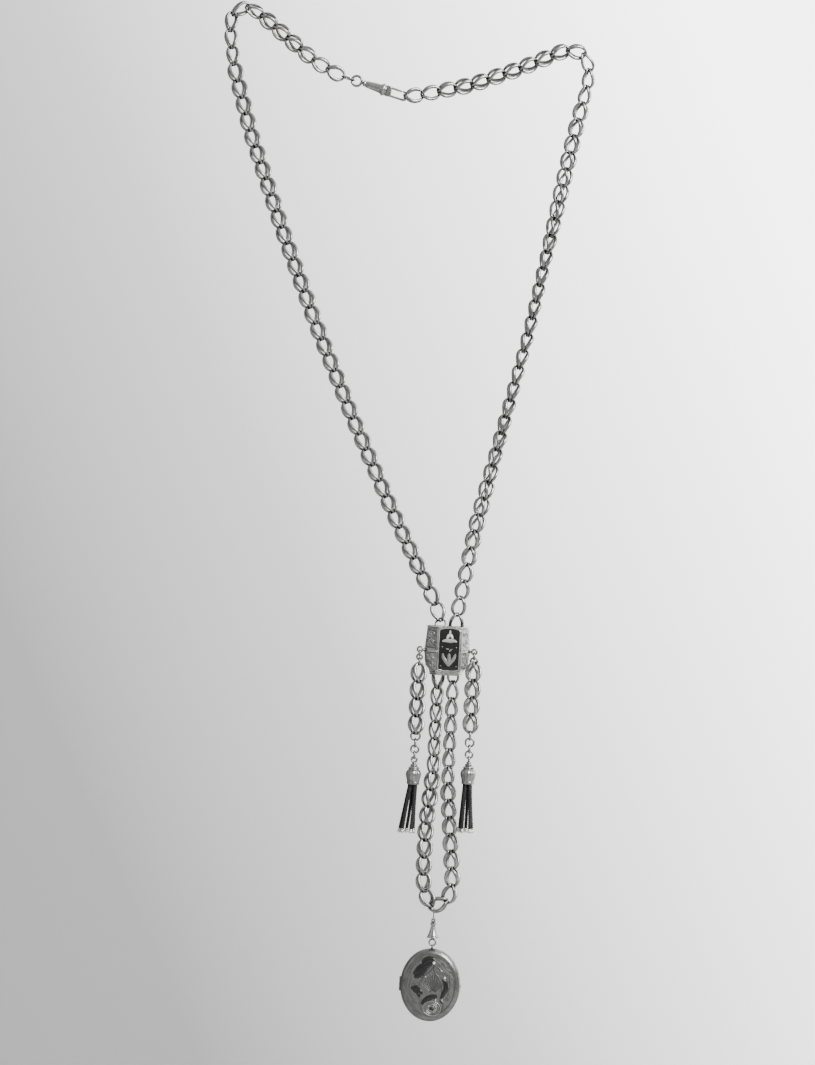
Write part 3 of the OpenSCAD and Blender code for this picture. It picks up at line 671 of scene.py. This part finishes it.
def slide_section(depth, inset=0.0):
    w, front, side = (float(np.interp(depth, KEYS[:, 0], KEYS[:, i])) for i in (1, 2, 3))
    w -= inset
    front += inset
    side += inset * 0.6
    pl = min(PANEL_HALF, w - 0.9)
    lo, hi = PANEL_SHIFT - pl, min(PANEL_SHIFT + pl, w - 0.9)
    z = SLIDE_TOP - depth
    x = slide_x
    back = BACK_Y - BACK_SET_IN - inset
    return [(x - w, back, z), (x - w, side, z), (x + lo, front, z), (x + hi, front, z), (x + w, side, z),
            (x + w, back, z)]


# Painted light: the right-hand facet gets a lit copy of the engraved metal and the upper left ones a shaded
# copy, as a lamp at the upper right would light them
FACETS = 6
MIDDLE_DEPTH = 9
s = Shape()
depths = [lv[0] for lv in SLIDE_LEVELS]
outer = [slide_section(d) for d in depths]
inner = [slide_section(d, SLIDE_WALL) for d in reversed(depths)]
s.grid(outer + inner, wrap_rows=True)
for i in range(len(s.faces)):
    level, facet = divmod(i, FACETS)
    if facet == 3:
        s.mat_of[i] = 1
    elif facet < 2 and depths[level % len(depths)] < MIDDLE_DEPTH:
        s.mat_of[i] = 2
s.make("slide_body", "slide", [ENGRAVED, ENGRAVED_PAINTED_LIT, ENGRAVED_PAINTED_SHADE], ["slide_case", "slide_front_shell"],
       "bright_metal", smooth=False, bevel=0.16)


def facet_point(side, u, depth, out=0.0):
    """A point on a slanted facet: u runs from the panel's edge to the side, out is the height above it."""
    q = slide_section(depth)
    a, b = (Vector(q[3]), Vector(q[4])) if side > 0 else (Vector(q[2]), Vector(q[1]))
    n = Vector((-(b - a).y, (b - a).x, 0)).normalized()
    if n.y > 0:
        n = -n
    return a + (b - a) * u + n * out


def edge_line(side, depth, out):
    """Three points across one slanted facet and on to the back of its side."""
    corner = Vector(slide_section(depth)[5 if side > 0 else 0])
    return [facet_point(side, 0, depth, out), facet_point(side, 1, depth, out),
            corner + Vector((side * out, -0.2, 0))]


# Bright middle rib, and smaller beads at the shoulder and the foot, round the facets and the sides
s = Shape()
for depth, r, squash in ((10.7, 0.42, 1.15), (9.75, 0.16, 1), (11.65, 0.16, 1), (0.35, 0.3, 1),
                         (19.55, 0.26, 1), (20.35, 0.22, 1), (16.55, 0.14, 1)):
    for side in (-1, 1):
        s.tube(smooth_line(edge_line(side, depth, 0.12), 2), r, 8, flat=squash)
s.make("slide_ribs", "slide", BRIGHT, ["slide_middle_band"], "chain_metal")

# Scrolls and leaves raised on the two slanted facets
SCROLL_POINTS = 22
SCROLL_TURNS = 1.6


def scroll(shape, at, size, sense, radius):
    """A tapering spiral laid on a surface; at(u, v) gives its points in millimetres about the middle."""
    pts, rad = [], []
    for i in range(SCROLL_POINTS):
        t = i / (SCROLL_POINTS - 1)
        a = sense * t * SCROLL_TURNS * 2 * math.pi
        r = size * (1 - t) ** 0.8 + 0.08
        pts.append(at(r * math.cos(a), r * math.sin(a)))
        rad.append(radius * (1 - 0.55 * t))
    shape.tube(pts, rad, 6)


s = Shape()
for side in (-1, 1):
    width = (facet_point(side, 1, 8) - facet_point(side, 0, 8)).length
    for mid, sense, grow in ((6.9, 1, 1.0), (3.3, -1, 0.85), (13.5, -1, 1.0), (16.4, 1, 0.7)):
        scroll(s, lambda u, v, m=mid: facet_point(side, 0.5 + u / width, m + v, 0.1), 1.35 * grow,
               sense * side, 0.2)
        line, radii = [], []
        for t in np.linspace(0, 1, 9):
            line.append(facet_point(side, 0.5 + 0.3 * math.sin(t * 2.6), mid - 1.7 + 3.4 * t, 0.06))
            radii.append(0.05 + 0.16 * math.sin(math.pi * t))
        s.tube(line, radii, 6)
s.make("slide_scrolls", "slide", SCROLLS, slot="bright_metal")

# Frame round the panel, with an arched top that rises a little above the slide
PANEL_LOW = 18.6
pw = PANEL_HALF - 0.35


def panel_y(depth):
    return float(np.interp(depth, KEYS[:, 0], KEYS[:, 2]))


def panel_outline(grow, rise):
    """Left side, arched top and right side of the panel as (x, depth)."""
    w = pw + grow
    side_l = [(-w, d) for d in np.linspace(PANEL_LOW + grow, 2.4, 9)]
    top = []
    for degrees in range(8, 173, 12):
        a = math.radians(degrees)
        top.append((-w * math.cos(a), 2.2 - rise * math.sin(a) ** 0.8))
    side_r = [(w, d) for d in np.linspace(2.4, PANEL_LOW + grow, 9)]
    return side_l + top + side_r


def on_panel(x, depth, out):
    return (slide_x + PANEL_SHIFT + x, panel_y(max(depth, 0)) - out, SLIDE_TOP - depth)


s = Shape()
for grow, r, rise in ((0.05, 0.34, 1.5), (0.62, 0.2, 1.75)):
    line = [on_panel(x, d, 0.12) for x, d in panel_outline(grow, rise)]
    s.tube(smooth_line(line, 1, True), r, 8, closed=True)
for k in range(13):
    a = math.radians(18 + 12 * k)
    x, d = -(pw + 0.95) * math.cos(a), 2.0 - 1.95 * math.sin(a) ** 0.8
    s.ball(on_panel(x, d, 0.1), 0.24)
s.make("slide_panel_frame", "slide", SCROLLS, slot="bright_metal")

# Black enamel: a gently crowned slab inside the frame
s = Shape()
rows = []
for shrink, out in ((0.0, -0.35), (0.0, 0.02), (0.12, 0.1), (0.5, 0.16)):
    row = []
    for x, d in panel_outline(0.0, 1.4):
        row.append(on_panel(x * (1 - shrink * 0.2), 10 + (d - 10) * (1 - shrink * 0.1), out))
    rows.append(row)
s.grid(rows)
s.make("slide_enamel", "slide", BLACK, ["slide_enamel_panel"], "black_enamel")

# Motif: a pale bud on two leaves over a duller bar, and a grey tulip below it
s = Shape()
PETAL_STEPS = 8


def petal(shape, spine, width, bulge, put):
    """A leaf along spine points (x, z), crowned by bulge; put(x, z, out) places a point on the surface."""
    line = smooth_line([np.array(p, float) for p in spine], 2)
    rows_top = []
    n = len(line)
    for i in range(n):
        a = line[max(i - 1, 0)]
        b = line[min(i + 1, n - 1)]
        t = i / (n - 1)
        d = (b - a) / (np.linalg.norm(b - a) + 1e-9)
        side = np.array([-d[1], d[0]])
        w = max(width * math.sin(math.pi * min(max(t, 0.02), 0.98)) ** 0.7, 0.03)
        ring = []
        for k in range(PETAL_STEPS + 1):
            v = -1 + 2 * k / PETAL_STEPS
            q = line[i] + side * w * v
            ring.append(put(q[0], q[1], 0.05 + bulge * (1 - v * v)))
        for v in (0.9, -0.9):
            q = line[i] + side * w * v
            ring.append(put(q[0], q[1], -0.25))
        rows_top.append(ring)
    shape.grid(rows_top)


def motif_put(x, z, out):
    return on_panel(x, -z, 0.14 + out)


for slot, width, bulge, spine in (
        (0, 0.42, 0.3, [(0.1, -1.6), (0.15, -2.6), (0.1, -3.6)]),
        (0, 0.62, 0.35, [(0.1, -3.2), (-0.5, -3.9), (-1.15, -5.2)]),
        (0, 0.62, 0.35, [(0.1, -3.2), (0.7, -3.9), (1.3, -5.2)]),
        (1, 0.85, 0.4, [(-3.1, -6.4), (-1.5, -5.9), (0.1, -6.1), (1.7, -5.9), (3.2, -6.4)]),
        (2, 0.8, 0.4, [(0.1, -11.2), (0.15, -13.5), (0.05, -16.6)]),
        (2, 0.75, 0.35, [(-2.6, -11.3), (-2.3, -13.2), (-0.9, -15.0), (0.0, -16.7)]),
        (2, 0.75, 0.35, [(2.7, -11.3), (2.4, -13.2), (1.0, -15.0), (0.1, -16.7)]),
        (2, 0.3, 0.2, [(-1.3, -9.2), (-0.6, -9.6), (0.1, -9.4)]),
        (2, 0.3, 0.2, [(1.4, -9.4), (0.7, -9.8), (0.1, -10.6)])):
    s.slot = slot
    petal(s, spine, width, bulge, motif_put)
for x, z in ((-2.9, -8.6), (3.0, -8.7), (-3.2, -16.6), (3.3, -16.6)):
    s.ball(motif_put(x, z, 0.08), 0.26)
s.make("slide_enamel_motif", "slide", [PALE, WORN_PEARL, DULL], ["slide_motif"], "pale_enamel")

# Back plate with a raised border
s = Shape()
plate = []
for inset, y in ((0.1, BACK_Y - 0.33), (0.1, 4.0), (0.3, 4.09), (0.75, 4.09), (0.95, 3.94)):
    row = []
    for side in (-1, 1):
        for depth, w, _, _ in (SLIDE_LEVELS if side < 0 else SLIDE_LEVELS[::-1]):
            d = min(max(depth, inset), SLIDE_LEVELS[-1][0] - inset)
            row.append((slide_x + side * (w - inset), y, SLIDE_TOP - d))
    plate.append(row)
s.grid(plate)
s.make("slide_back", "slide", SCROLLS, ["slide_back_plate"], "bright_metal", smooth=False)

# Raised on the back plate: a flower in an oval, with a scroll in each corner
s = Shape()


def on_back(x, z, out):
    return (slide_x + x, 3.9 + min(out, 0.2), SLIDE_TOP - 9.6 + z)


for a in angles(10):
    spine = [(r * math.cos(a), r * math.sin(a)) for r in (0.7, 1.9, 3.1)]
    petal(s, spine, 0.62, 0.12, on_back)
s.tube([on_back(4.3 * math.cos(a), 5.2 * math.sin(a), 0.02) for a in angles(48)], 0.16, 6, closed=True)
for x, z in ((-6.2, 6.2), (6.2, 6.2), (-5.6, -6.6), (5.6, -6.6)):
    scroll(s, lambda u, v, cx=x, cz=z: on_back(cx + u, cz + v, 0.03), 1.35, 1 if x * z > 0 else -1, 0.15)
s.make("slide_back_flower", "slide", ENGRAVED, slot="bright_metal")

# Eyes for the drops, on a peg at each side
DROP_OUT = 11.4
DROP_Y = -6.2
RING_WIRE = 0.6
SEEN_WIRE = 0.85
EYE_Z = -260.9
DROP_EYE_R = 1.05
s = Shape()
for side in (-1, 1):
    s.ring((slide_x + side * DROP_OUT, DROP_Y, EYE_Z), DROP_EYE_R, SEEN_WIRE)
    peg = [(slide_x + side * (DROP_OUT - inward), DROP_Y + back, EYE_Z)
           for inward, back in ((2.3, 1.5), (1.6, 0.5), (1.0, 0.0))]
    s.tube(peg, [0.75, 0.6, 0.4], 10)
s.make("slide_eyes", "slide", RING, ["slide_side_eyes"])


# ---- Drops ----
def next_centre(z, r0, r1):
    return z - r0 - r1 + RING_WIRE + 0.1


HANGERS = {-1: [1.15, 1.15, 1.55], 1: [1.4, 1.45]}
LOWER_R = [1.9, 1.75, 1.6, 1.5]
CAP_EYE_R = 1.1
OVER = 1.1
DROP_LINKS = 4
CAP_H = 9.4
CORD_L = 19.0
CORD_IN_CUP = 0.9
CORD_COUNT = 5
CAP_PROFILE = [
    (0, 0.05), (0.5, 0.0), (0.95, -0.25), (1.0, -0.6), (0.75, -0.85), (1.25, -1.0), (1.55, -1.3),
    (1.45, -1.7), (1.2, -1.85), (1.7, -2.0), (2.05, -2.3), (2.15, -2.7), (2.0, -3.0), (2.35, -3.25),
    (2.8, -3.7), (3.1, -4.2), (3.28, -4.8), (3.3, -5.3), (3.2, -5.9), (3.0, -6.7), (2.78, -7.5), (2.6, -8.0),
    (2.52, -8.25), (2.66, -8.45), (2.66, -8.8), (2.58, -9.05), (2.58, -9.4), (2.27, -9.4), (2.27, -8.45),
    (0, -8.45)]
TIP_PROFILE = [
    (0, -0.5), (0.6, -0.45), (0.82, -0.2), (0.76, 0.05), (0.6, 0.15), (0.8, 0.4), (0.88, 0.75), (0.78, 1.1),
    (0.45, 1.4), (0, 1.5)]
CORD_POINTS = 90
PLY_TURN = 2.6
UP = Vector((0, 0, 1))


def cap_flutes(z):
    return 0.07 if -7.9 < z < -3.4 else 0.0


for side, name in ((-1, "left"), (1, "right")):
    x = slide_x + side * DROP_OUT
    s = Shape()
    z, r = EYE_Z, DROP_EYE_R
    for i, ring_r in enumerate(HANGERS[side]):
        z = next_centre(z, r, ring_r)
        r = ring_r
        s.ring((x, DROP_Y, z), r, SEEN_WIRE, i % 2 == 0)
    s.make(name + "_hanger_rings", name + "_drop_hanger", RING, [name + "_drop_hanger_rings"])
    hanger_end = z - r
    s = Shape()
    for i in range(DROP_LINKS):
        if side < 0:
            s.place = (Matrix.Translation((x, DROP_Y, hanger_end + OVER - LINK_H - PITCH * i))
                       @ Matrix.Rotation(math.radians(30), 4, "Z"))
        else:
            s.place = (Matrix.Translation((x, DROP_Y, hanger_end + OVER - PITCH * i))
                       @ Matrix.Rotation(math.radians(-28), 4, "Z") @ Matrix.Rotation(math.pi, 4, "X"))
        s.tube(*LINK, WIRE_SIDES, closed=True)
    s.make("wire_%s_drop_links" % name, name + "_drop_chain", CHAIN, [name + "_drop_links"])
    span = PITCH * (DROP_LINKS - 1)
    z = hanger_end + OVER - LINK_H - span + OVER - LOWER_R[0]
    s = Shape()
    for i, ring_r in enumerate(LOWER_R):
        if i:
            z = next_centre(z, LOWER_R[i - 1], ring_r)
        s.ring((x, DROP_Y, z), ring_r, SEEN_WIRE, i % 2 == (1 if side < 0 else 0))
    s.make(name + "_lower_rings", name + "_tassel", RING, [name + "_drop_lower_rings"])
    eye = next_centre(z, LOWER_R[-1], CAP_EYE_R)
    top = eye - CAP_EYE_R + 0.1
    s = Shape()
    s.ring((x, DROP_Y, eye), CAP_EYE_R, SEEN_WIRE, side > 0)
    s.place = Matrix.Translation((x, DROP_Y, top))
    s.lathe(CAP_PROFILE, 70, cap_flutes)
    for a in angles(18):
        s.ball((2.1 * math.cos(a), 2.1 * math.sin(a), -2.65), 0.26)
    s.make(name + "_cap", name + "_tassel", CAP, [name + "_tassel_cap"], "bright_metal")
    cords, tips = Shape(), Shape()
    shift, fan = (-1.7, 1.5) if side < 0 else (0.2, 1.35)
    start_z = top - CAP_H + CORD_IN_CUP
    for i in range(CORD_COUNT):
        a = math.radians(90 + i * 360 / CORD_COUNT)
        head = Vector((x + 1.32 * math.cos(a), DROP_Y + 1.32 * math.sin(a), start_z))
        foot = Vector((x + shift + fan * 2 * math.cos(a), DROP_Y + 1.5 * math.sin(a),
                       start_z - CORD_L - CORD_IN_CUP))
        core = []
        for t in np.linspace(0, 1, CORD_POINTS):
            sway = 0.22 * math.sin(math.pi * t) * math.sin(2.3 * i + 1)
            p = head.lerp(foot, t ** 1.15 * 0.35 + t * 0.65)
            core.append(Vector((p.x + sway, p.y, head.z + (foot.z - head.z) * t)))
        for ply in range(3):
            line = []
            for k, p in enumerate(core):
                w = 2 * math.pi * (k / (CORD_POINTS - 1) * CORD_L / PLY_TURN + ply / 3)
                line.append(p + Vector((math.cos(w), math.sin(w), 0)) * 0.36)
            cords.tube(line, 0.385, 6)
        down = (core[-1] - core[-6]).normalized()
        tips.place = Matrix.Translation(core[-1]) @ UP.rotation_difference(down).to_matrix().to_4x4()
        tips.lathe(TIP_PROFILE, 16)
    cords.make(name + "_cords", name + "_tassel", CORD, [name + "_tassel_cords"], "tassel_cord")
    tips.make(name + "_tips", name + "_tassel", BRIGHT, [name + "_tassel_tips"], "bright_metal")


# ---- Locket ----
LOCKET_W = 25.2
LOCKET_H = 30.4
BOW_R = 0.8
BOW_WIRE = 0.5
bow_z = eye_z - SWIVEL_SCALE * (EYE_R - EYE_WIRE / 2) - BOW_R + BOW_WIRE / 2 + 0.1
locket_top = bow_z - BOW_R - BOW_WIRE / 2 - 0.05
locket_z = locket_top - LOCKET_H / 2
HINGE_X = -LOCKET_W / 2 + 0.15
HINGE_ROOM = 0.72
HINGE_REACH = 3.3
# Share of the oval's half width, and depth from the middle plane
COVER = [
    (0, 2.75), (0.84, 2.75), (0.87, 2.5), (0.87, 0.4), (0.88, 0.06), (0.975, 0.06), (0.99, 0.2), (0.998, 0.7),
    (1.0, 1.2), (0.996, 1.7), (0.985, 2.1), (0.965, 2.5), (0.935, 2.86), (0.9, 3.12), (0.87, 3.24),
    (0.845, 3.3), (0.825, 3.29), (0.81, 3.25), (0.795, 3.27), (0.78, 3.33), (0.77, 3.36), (0.74, 3.4),
    (0.6, 3.52), (0.4, 3.63), (0.2, 3.68), (0, 3.7)]
FACE_FROM = 9
FIELD_FROM = 20


def face_depth(x, z):
    f = math.hypot(x / (LOCKET_W / 2), z / (LOCKET_H / 2))
    return interp(COVER[:FACE_FROM - 1:-1], f)


def cover(shape, side):
    """Half of the case: side -1 is the front, with its field in the second material."""
    rows = []
    for f, depth in COVER:
        y = side * depth
        if f == 0:
            rows.append([(locket_x, y, locket_z)])
        else:
            row = []
            for a in angles(96):
                x, z = LOCKET_W / 2 * f * math.cos(a), LOCKET_H / 2 * f * math.sin(a)
                room = HINGE_ROOM ** 2 - (x - HINGE_X) ** 2 if abs(z) < HINGE_REACH else 0
                deep = max(depth, math.sqrt(room)) if room > 0 else depth
                row.append((locket_x + x, side * deep, locket_z + z))
            rows.append(row)
    for i in range(len(rows) - 1):
        shape.slot = 1 if i >= FIELD_FROM and side < 0 else 0
        shape.grid([rows[i], rows[i + 1]], cap=False)
    shape.slot = 0


def knuckles(shape, spans, side):
    for z0, z1 in spans:
        rows = []
        axis = locket_x + HINGE_X
        for r, z in ((0.27, z0), (0.54, z0), (0.6, z0 + 0.08), (0.6, z1 - 0.08), (0.54, z1), (0.27, z1)):
            rows.append([(axis + r * math.cos(a), r * math.sin(a), locket_z + z) for a in angles(20)])
        shape.grid(rows, wrap_rows=True)
        y0, y1 = (0.02, 0.34) if side > 0 else (-0.34, -0.02)
        x0, x1 = axis + 0.45, axis + 1.25
        low, high = locket_z + z0 + 0.05, locket_z + z1 - 0.05
        shape.prism([(x0, low), (x1, low), (x1, high), (x0, high)], y0, y1)


THIRD = 1.0
s = Shape()
cover(s, 1)
knuckles(s, [(-THIRD, THIRD)], 1)
saddle = [(-0.6, locket_top - 0.5), (0.6, locket_top - 0.5), (0.42, bow_z - 0.6), (-0.42, bow_z - 0.6)]
s.prism([(locket_x + x, z) for x, z in saddle], 0.12, 0.85)
s.make("locket_back", "locket", [LOCKET, FIELD], ["locket_back_cover"], "bright_metal")
s = Shape()
cover(s, -1)
knuckles(s, [(-3.0, -THIRD - 0.1), (THIRD + 0.1, 3.0)], -1)
catch = [(-0.4, -1.0), (0.2, -0.7), (0.28, 0), (0.2, 0.7), (-0.4, 1.0)]
s.prism([(locket_x + LOCKET_W / 2 + x, locket_z + z) for x, z in catch], -0.85, -0.25)
s.make("locket_front", "locket_cover", [LOCKET, FIELD], ["locket_front_cover"], "bright_metal")
s = Shape()
s.ring((locket_x, 0, bow_z), BOW_R, BOW_WIRE, True, 30)
s.make("locket_bow_ring", "locket", RING, ["locket_bow"])


def on_locket(x, z, out):
    return (locket_x + x, -face_depth(x, z) - out, locket_z + z)


# Black enamel leaves
s = Shape()
for spine, width, bulge in (
        ([(1.4, 10.9), (-0.6, 11.1), (-2.6, 10.2), (-3.4, 8.8)], 1.5, 0.3),
        ([(1.0, 9.9), (-1.2, 9.4), (-3.2, 8.0)], 1.3, 0.28),
        ([(-0.6, 9.0), (-2.8, 8.3), (-5.0, 6.6), (-6.4, 5.4)], 1.6, 0.3),
        ([(-1.6, 7.6), (-3.6, 6.6), (-5.6, 5.4), (-7.4, 4.9)], 1.4, 0.28),
        ([(-2.0, 6.4), (-3.8, 5.4), (-5.4, 3.9), (-6.8, 3.4)], 1.2, 0.26),
        ([(-8.0, -1.1), (-6.6, -1.4), (-5.2, -1.0), (-4.2, -2.0)], 1.05, 0.3),
        ([(-7.0, -2.2), (-5.6, -2.4), (-4.2, -2.6), (-3.2, -3.6)], 1.1, 0.3),
        ([(-5.4, -3.2), (-4.6, -3.8), (-4.2, -5.0)], 0.6, 0.26),
        ([(-2.9, -8.0), (-2.0, -6.4), (-0.4, -5.0), (1.4, -4.4), (3.4, -4.3)], 1.15, 0.34),
        ([(-3.4, -7.4), (-1.9, -5.4), (0.6, -3.9)], 0.55, 0.28),
        ([(5.2, 2.9), (6.3, 1.6), (6.6, -0.2), (5.9, -2.2)], 0.95, 0.3),
        ([(6.9, 0.8), (6.9, -0.9), (6.0, -2.6), (4.8, -4.1)], 1.0, 0.3),
        ([(6.4, -2.4), (5.6, -4.0), (4.4, -5.0)], 0.65, 0.26),
        ([(4.4, -5.6), (5.0, -6.6), (6.2, -7.0)], 0.5, 0.24)):
    petal(s, spine, width, bulge, on_locket)
s.make("locket_black_leaves", "locket_cover", BLACK, ["locket_leaves"], "black_enamel")

# Raised silver stems, a fan of fine ribs in the middle and smaller scrolls round it
s = Shape()
FAN = (1.3, -3.4)
for k in range(13):
    a = math.radians(48 + 7.6 * k)
    reach = 7.6 + 1.2 * math.cos(2 * (a - math.radians(92)))
    pts, radii = [], []
    for t in np.linspace(0.16, 1, 9):
        bend = 0.5 * math.sin(math.pi * t) * math.cos(a)
        pts.append(on_locket(FAN[0] + reach * t * math.cos(a) + bend, FAN[1] + reach * t * math.sin(a), 0.03))
        radii.append(0.14 + 0.08 * math.sin(math.pi * t))
    s.tube(pts, radii, 6)
for line, r in (
        ([(-4.6, -1.6), (-4.2, 2.0), (-2.4, 4.8), (0.6, 6.6), (1.0, 9.0)], 0.26),
        ([(1.2, 8.8), (1.4, 5.6), (3.6, 3.8), (5.0, 0.4), (4.8, -2.8)], 0.26),
        ([(-3.4, 3.6), (-1.6, 6.6), (0.4, 8.6)], 0.2),
        ([(1.6, 8.6), (3.4, 7.6), (5.0, 5.6), (6.4, 3.2)], 0.22),
        ([(-4.4, -4.6), (-3.6, -6.4), (-4.0, -8.6), (-2.8, -10.4)], 0.22),
        ([(5.8, -7.4), (6.0, -8.8), (5.0, -10.4)], 0.2),
        ([(7.6, 4.6), (8.4, 2.0), (8.2, -1.4), (7.4, -4.0)], 0.17),
        ([(-8.2, 2.6), (-8.8, 0.4), (-8.4, -3.4), (-7.0, -6.2)], 0.17)):
    line = smooth_line([np.array(q, float) for q in line], 2)
    pts = [on_locket(q[0], q[1], 0.05) for q in line]
    s.tube(pts, [r * (0.55 + 0.45 * math.sin(math.pi * i / (len(pts) - 1))) for i in range(len(pts))], 7)
for x, z, size, sense in ((3.2, 8.2, 0.9, 1), (6.4, 5.2, 0.8, -1), (7.2, 1.6, 0.7, 1), (-6.6, 0.6, 0.8, -1),
                          (-3.4, 1.6, 0.8, 1), (7.4, -5.4, 0.8, 1), (-6.2, -6.8, 0.8, -1),
                          (-1.6, 2.0, 0.6, 1), (4.9, 9.6, 0.6, -1), (8.4, 6.0, 0.5, 1)):
    scroll(s, lambda u, v, cx=x, cz=z: on_locket(cx + u, cz + v, 0.06), size, sense, 0.15)
s.make("locket_scrolls", "locket_cover", ORNAMENT, slot="bright_metal")

# Rosette: stepped ovals with small petals and a dark centre
s = Shape()
RX, RZ = 1.1, -9.5
TILT = math.radians(-6)


def rosette_point(r, a, out):
    x, z = r * 1.24 * math.cos(a), r * math.sin(a)
    c, n = math.cos(TILT), math.sin(TILT)
    return on_locket(RX + x * c - z * n, RZ + x * n + z * c, out)


for r, w in ((3.0, 0.26), (2.35, 0.16), (1.75, 0.2), (0.95, 0.16)):
    s.tube([rosette_point(r, a, 0.08) for a in angles(36)], w, 7, closed=True)
for a in angles(14):
    s.tube([rosette_point(rr, a, 0.06) for rr in (1.0, 1.35, 1.7)], [0.1, 0.2, 0.12], 6)
for a in angles(22):
    s.ball(rosette_point(2.68, a, 0.1), 0.17)
s.make("locket_rosette_rings", "locket_cover", ROSETTE, ["locket_rosette"], "bright_metal")
s = Shape()
s.ball(on_locket(RX, RZ, -0.1), 0.8)
s.make("locket_rosette_eye", "locket_cover", BLACK, slot="black_enamel")

# Seed pearls in small cups, as (x, z, radius, 1 if dull)
s = Shape()
cups = Shape()
for x, z, r, dull in ((1.1, 9.6, 0.62, 0), (4.4, 6.5, 0.48, 1), (6.0, 3.6, 0.5, 0), (2.5, -5.9, 0.46, 1),
                      (5.2, -5.8, 0.4, 1), (-2.2, 3.6, 0.4, 1)):
    s.slot = dull
    s.ball(on_locket(x, z, 0.22), r)
    cups.tube([on_locket(x + r * 1.05 * math.cos(a), z + r * 1.05 * math.sin(a), 0.06) for a in angles(16)],
              0.13, 6, closed=True)
s.make("locket_seed_pearls", "locket_cover", [PEARL, WORN_PEARL], ["locket_pearls"], "pearl")
cups.make("locket_pearl_cups", "locket_cover", ORNAMENT, slot="bright_metal")

# CAD pieces that keep their shape and get a finish
for node, material in (("slide_grip_spring", POLISHED), ("locket_hinge_pin", POLISHED),
                       ("locket_back_frame", BRIGHT), ("locket_front_frame", BRIGHT),
                       ("locket_back_glass", GLASS), ("locket_front_glass", GLASS)):
    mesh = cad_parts[node].data
    if not mesh.materials:
        mesh.materials.append(material)
    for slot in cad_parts[node].material_slots:
        slot.material = material


# ---- Stage: a pale floor, and a wall behind that is seen only from the front ----
def stage_plane(name, corners, material):
    mesh = bpy.data.meshes.new(name)
    mesh.from_pydata(corners, [], [(0, 1, 2, 3)])
    mesh.materials.append(material)
    new_object(name, mesh)


def paper(name, value, one_sided):
    n = Nodes(name)
    n.set(Metallic=0.0, Roughness=0.9)
    n.shade("Base Color", n.mix(n.noise(6, 2), grey(value * 0.985), grey(value)))
    if one_sided:
        # Painted light: the wall glows, brighter to the right and upwards, as under a lamp that stands there
        split = n.node("SeparateXYZ")
        n.link(n.coords, split.inputs[0])
        across = n.math("MULTIPLY", split.outputs["X"], 1.6)
        rise = n.math("ADD", across, n.math("MULTIPLY", split.outputs["Z"], 0.8))
        glow = n.ramp(n.math("ADD", rise, 0.55), [
            (0.0, grey(0.0)), (0.1, grey(0.05)), (0.28, grey(0.14)), (0.48, grey(0.36)), (0.65, grey(0.6)),
            (0.85, grey(1.0))])
        n.shade("Emission Color", glow)
        n.set(Emission_Strength=4.4)
        clear = n.node("BsdfTransparent")
        facing = n.node("NewGeometry")
        both = n.node("MixShader")
        n.feed((facing.outputs["Backfacing"], n.bsdf.outputs[0], clear.outputs[0]), both.inputs)
        n.link(both.outputs[0], n.tree.nodes["Material Output"].inputs["Surface"])
    return n.mat


WALL_Y = 0.45
WALL_TOP = 1.2
FLOOR_Z = -0.62
stage_plane("wall", [(-1.6, WALL_Y, FLOOR_Z), (1.6, WALL_Y, FLOOR_Z), (1.6, WALL_Y, WALL_TOP),
                     (-1.6, WALL_Y, WALL_TOP)], paper("wall_paper", 0.47, True))
stage_plane("floor", [(-3, -3, FLOOR_Z), (3, -3, FLOOR_Z), (3, 3, FLOOR_Z), (-3, 3, FLOOR_Z)],
            paper("floor_paper", 0.4, False))


def softbox(name, place, target, size, energy):
    data = bpy.data.lights.new(name, "AREA")
    data.shape = "RECTANGLE"
    data.size, data.size_y = size
    data.energy = energy
    obj = new_object(name, data)
    obj.location = place
    aim = Vector(target) - Vector(place)
    obj.rotation_mode = "QUATERNION"
    obj.rotation_quaternion = aim.to_track_quat("-Z", "Y")


MIDDLE = (0.01, 0, -0.21)
softbox("key", (0.85, -0.75, 0.5), MIDDLE, (0.6, 0.6), 38)
softbox("side", (-1.3, -1.1, 0.1), MIDDLE, (0.25, 1.2), 2)
softbox("back", (0.4, 1.6, 0.9), MIDDLE, (1.0, 1.0), 16)

world = bpy.data.worlds.new("world")
world.use_nodes = True
bpy.context.scene.world = world
tree = world.node_tree
coords = tree.nodes.new("ShaderNodeTexCoord")
split = tree.nodes.new("ShaderNodeSeparateXYZ")
ramp = tree.nodes.new("ShaderNodeValToRGB")
tree.links.new(coords.outputs["Generated"], split.inputs[0])
tree.links.new(split.outputs["Z"], ramp.inputs["Fac"])
ramp.color_ramp.elements[0].color = (*grey(0.42), 1)
ramp.color_ramp.elements[1].color = (*grey(0.8), 1)
ramp.color_ramp.elements[1].position = 0.85
tree.links.new(ramp.outputs["Color"], tree.nodes["Background"].inputs["Color"])
tree.nodes["Background"].inputs["Strength"].default_value = 1.0
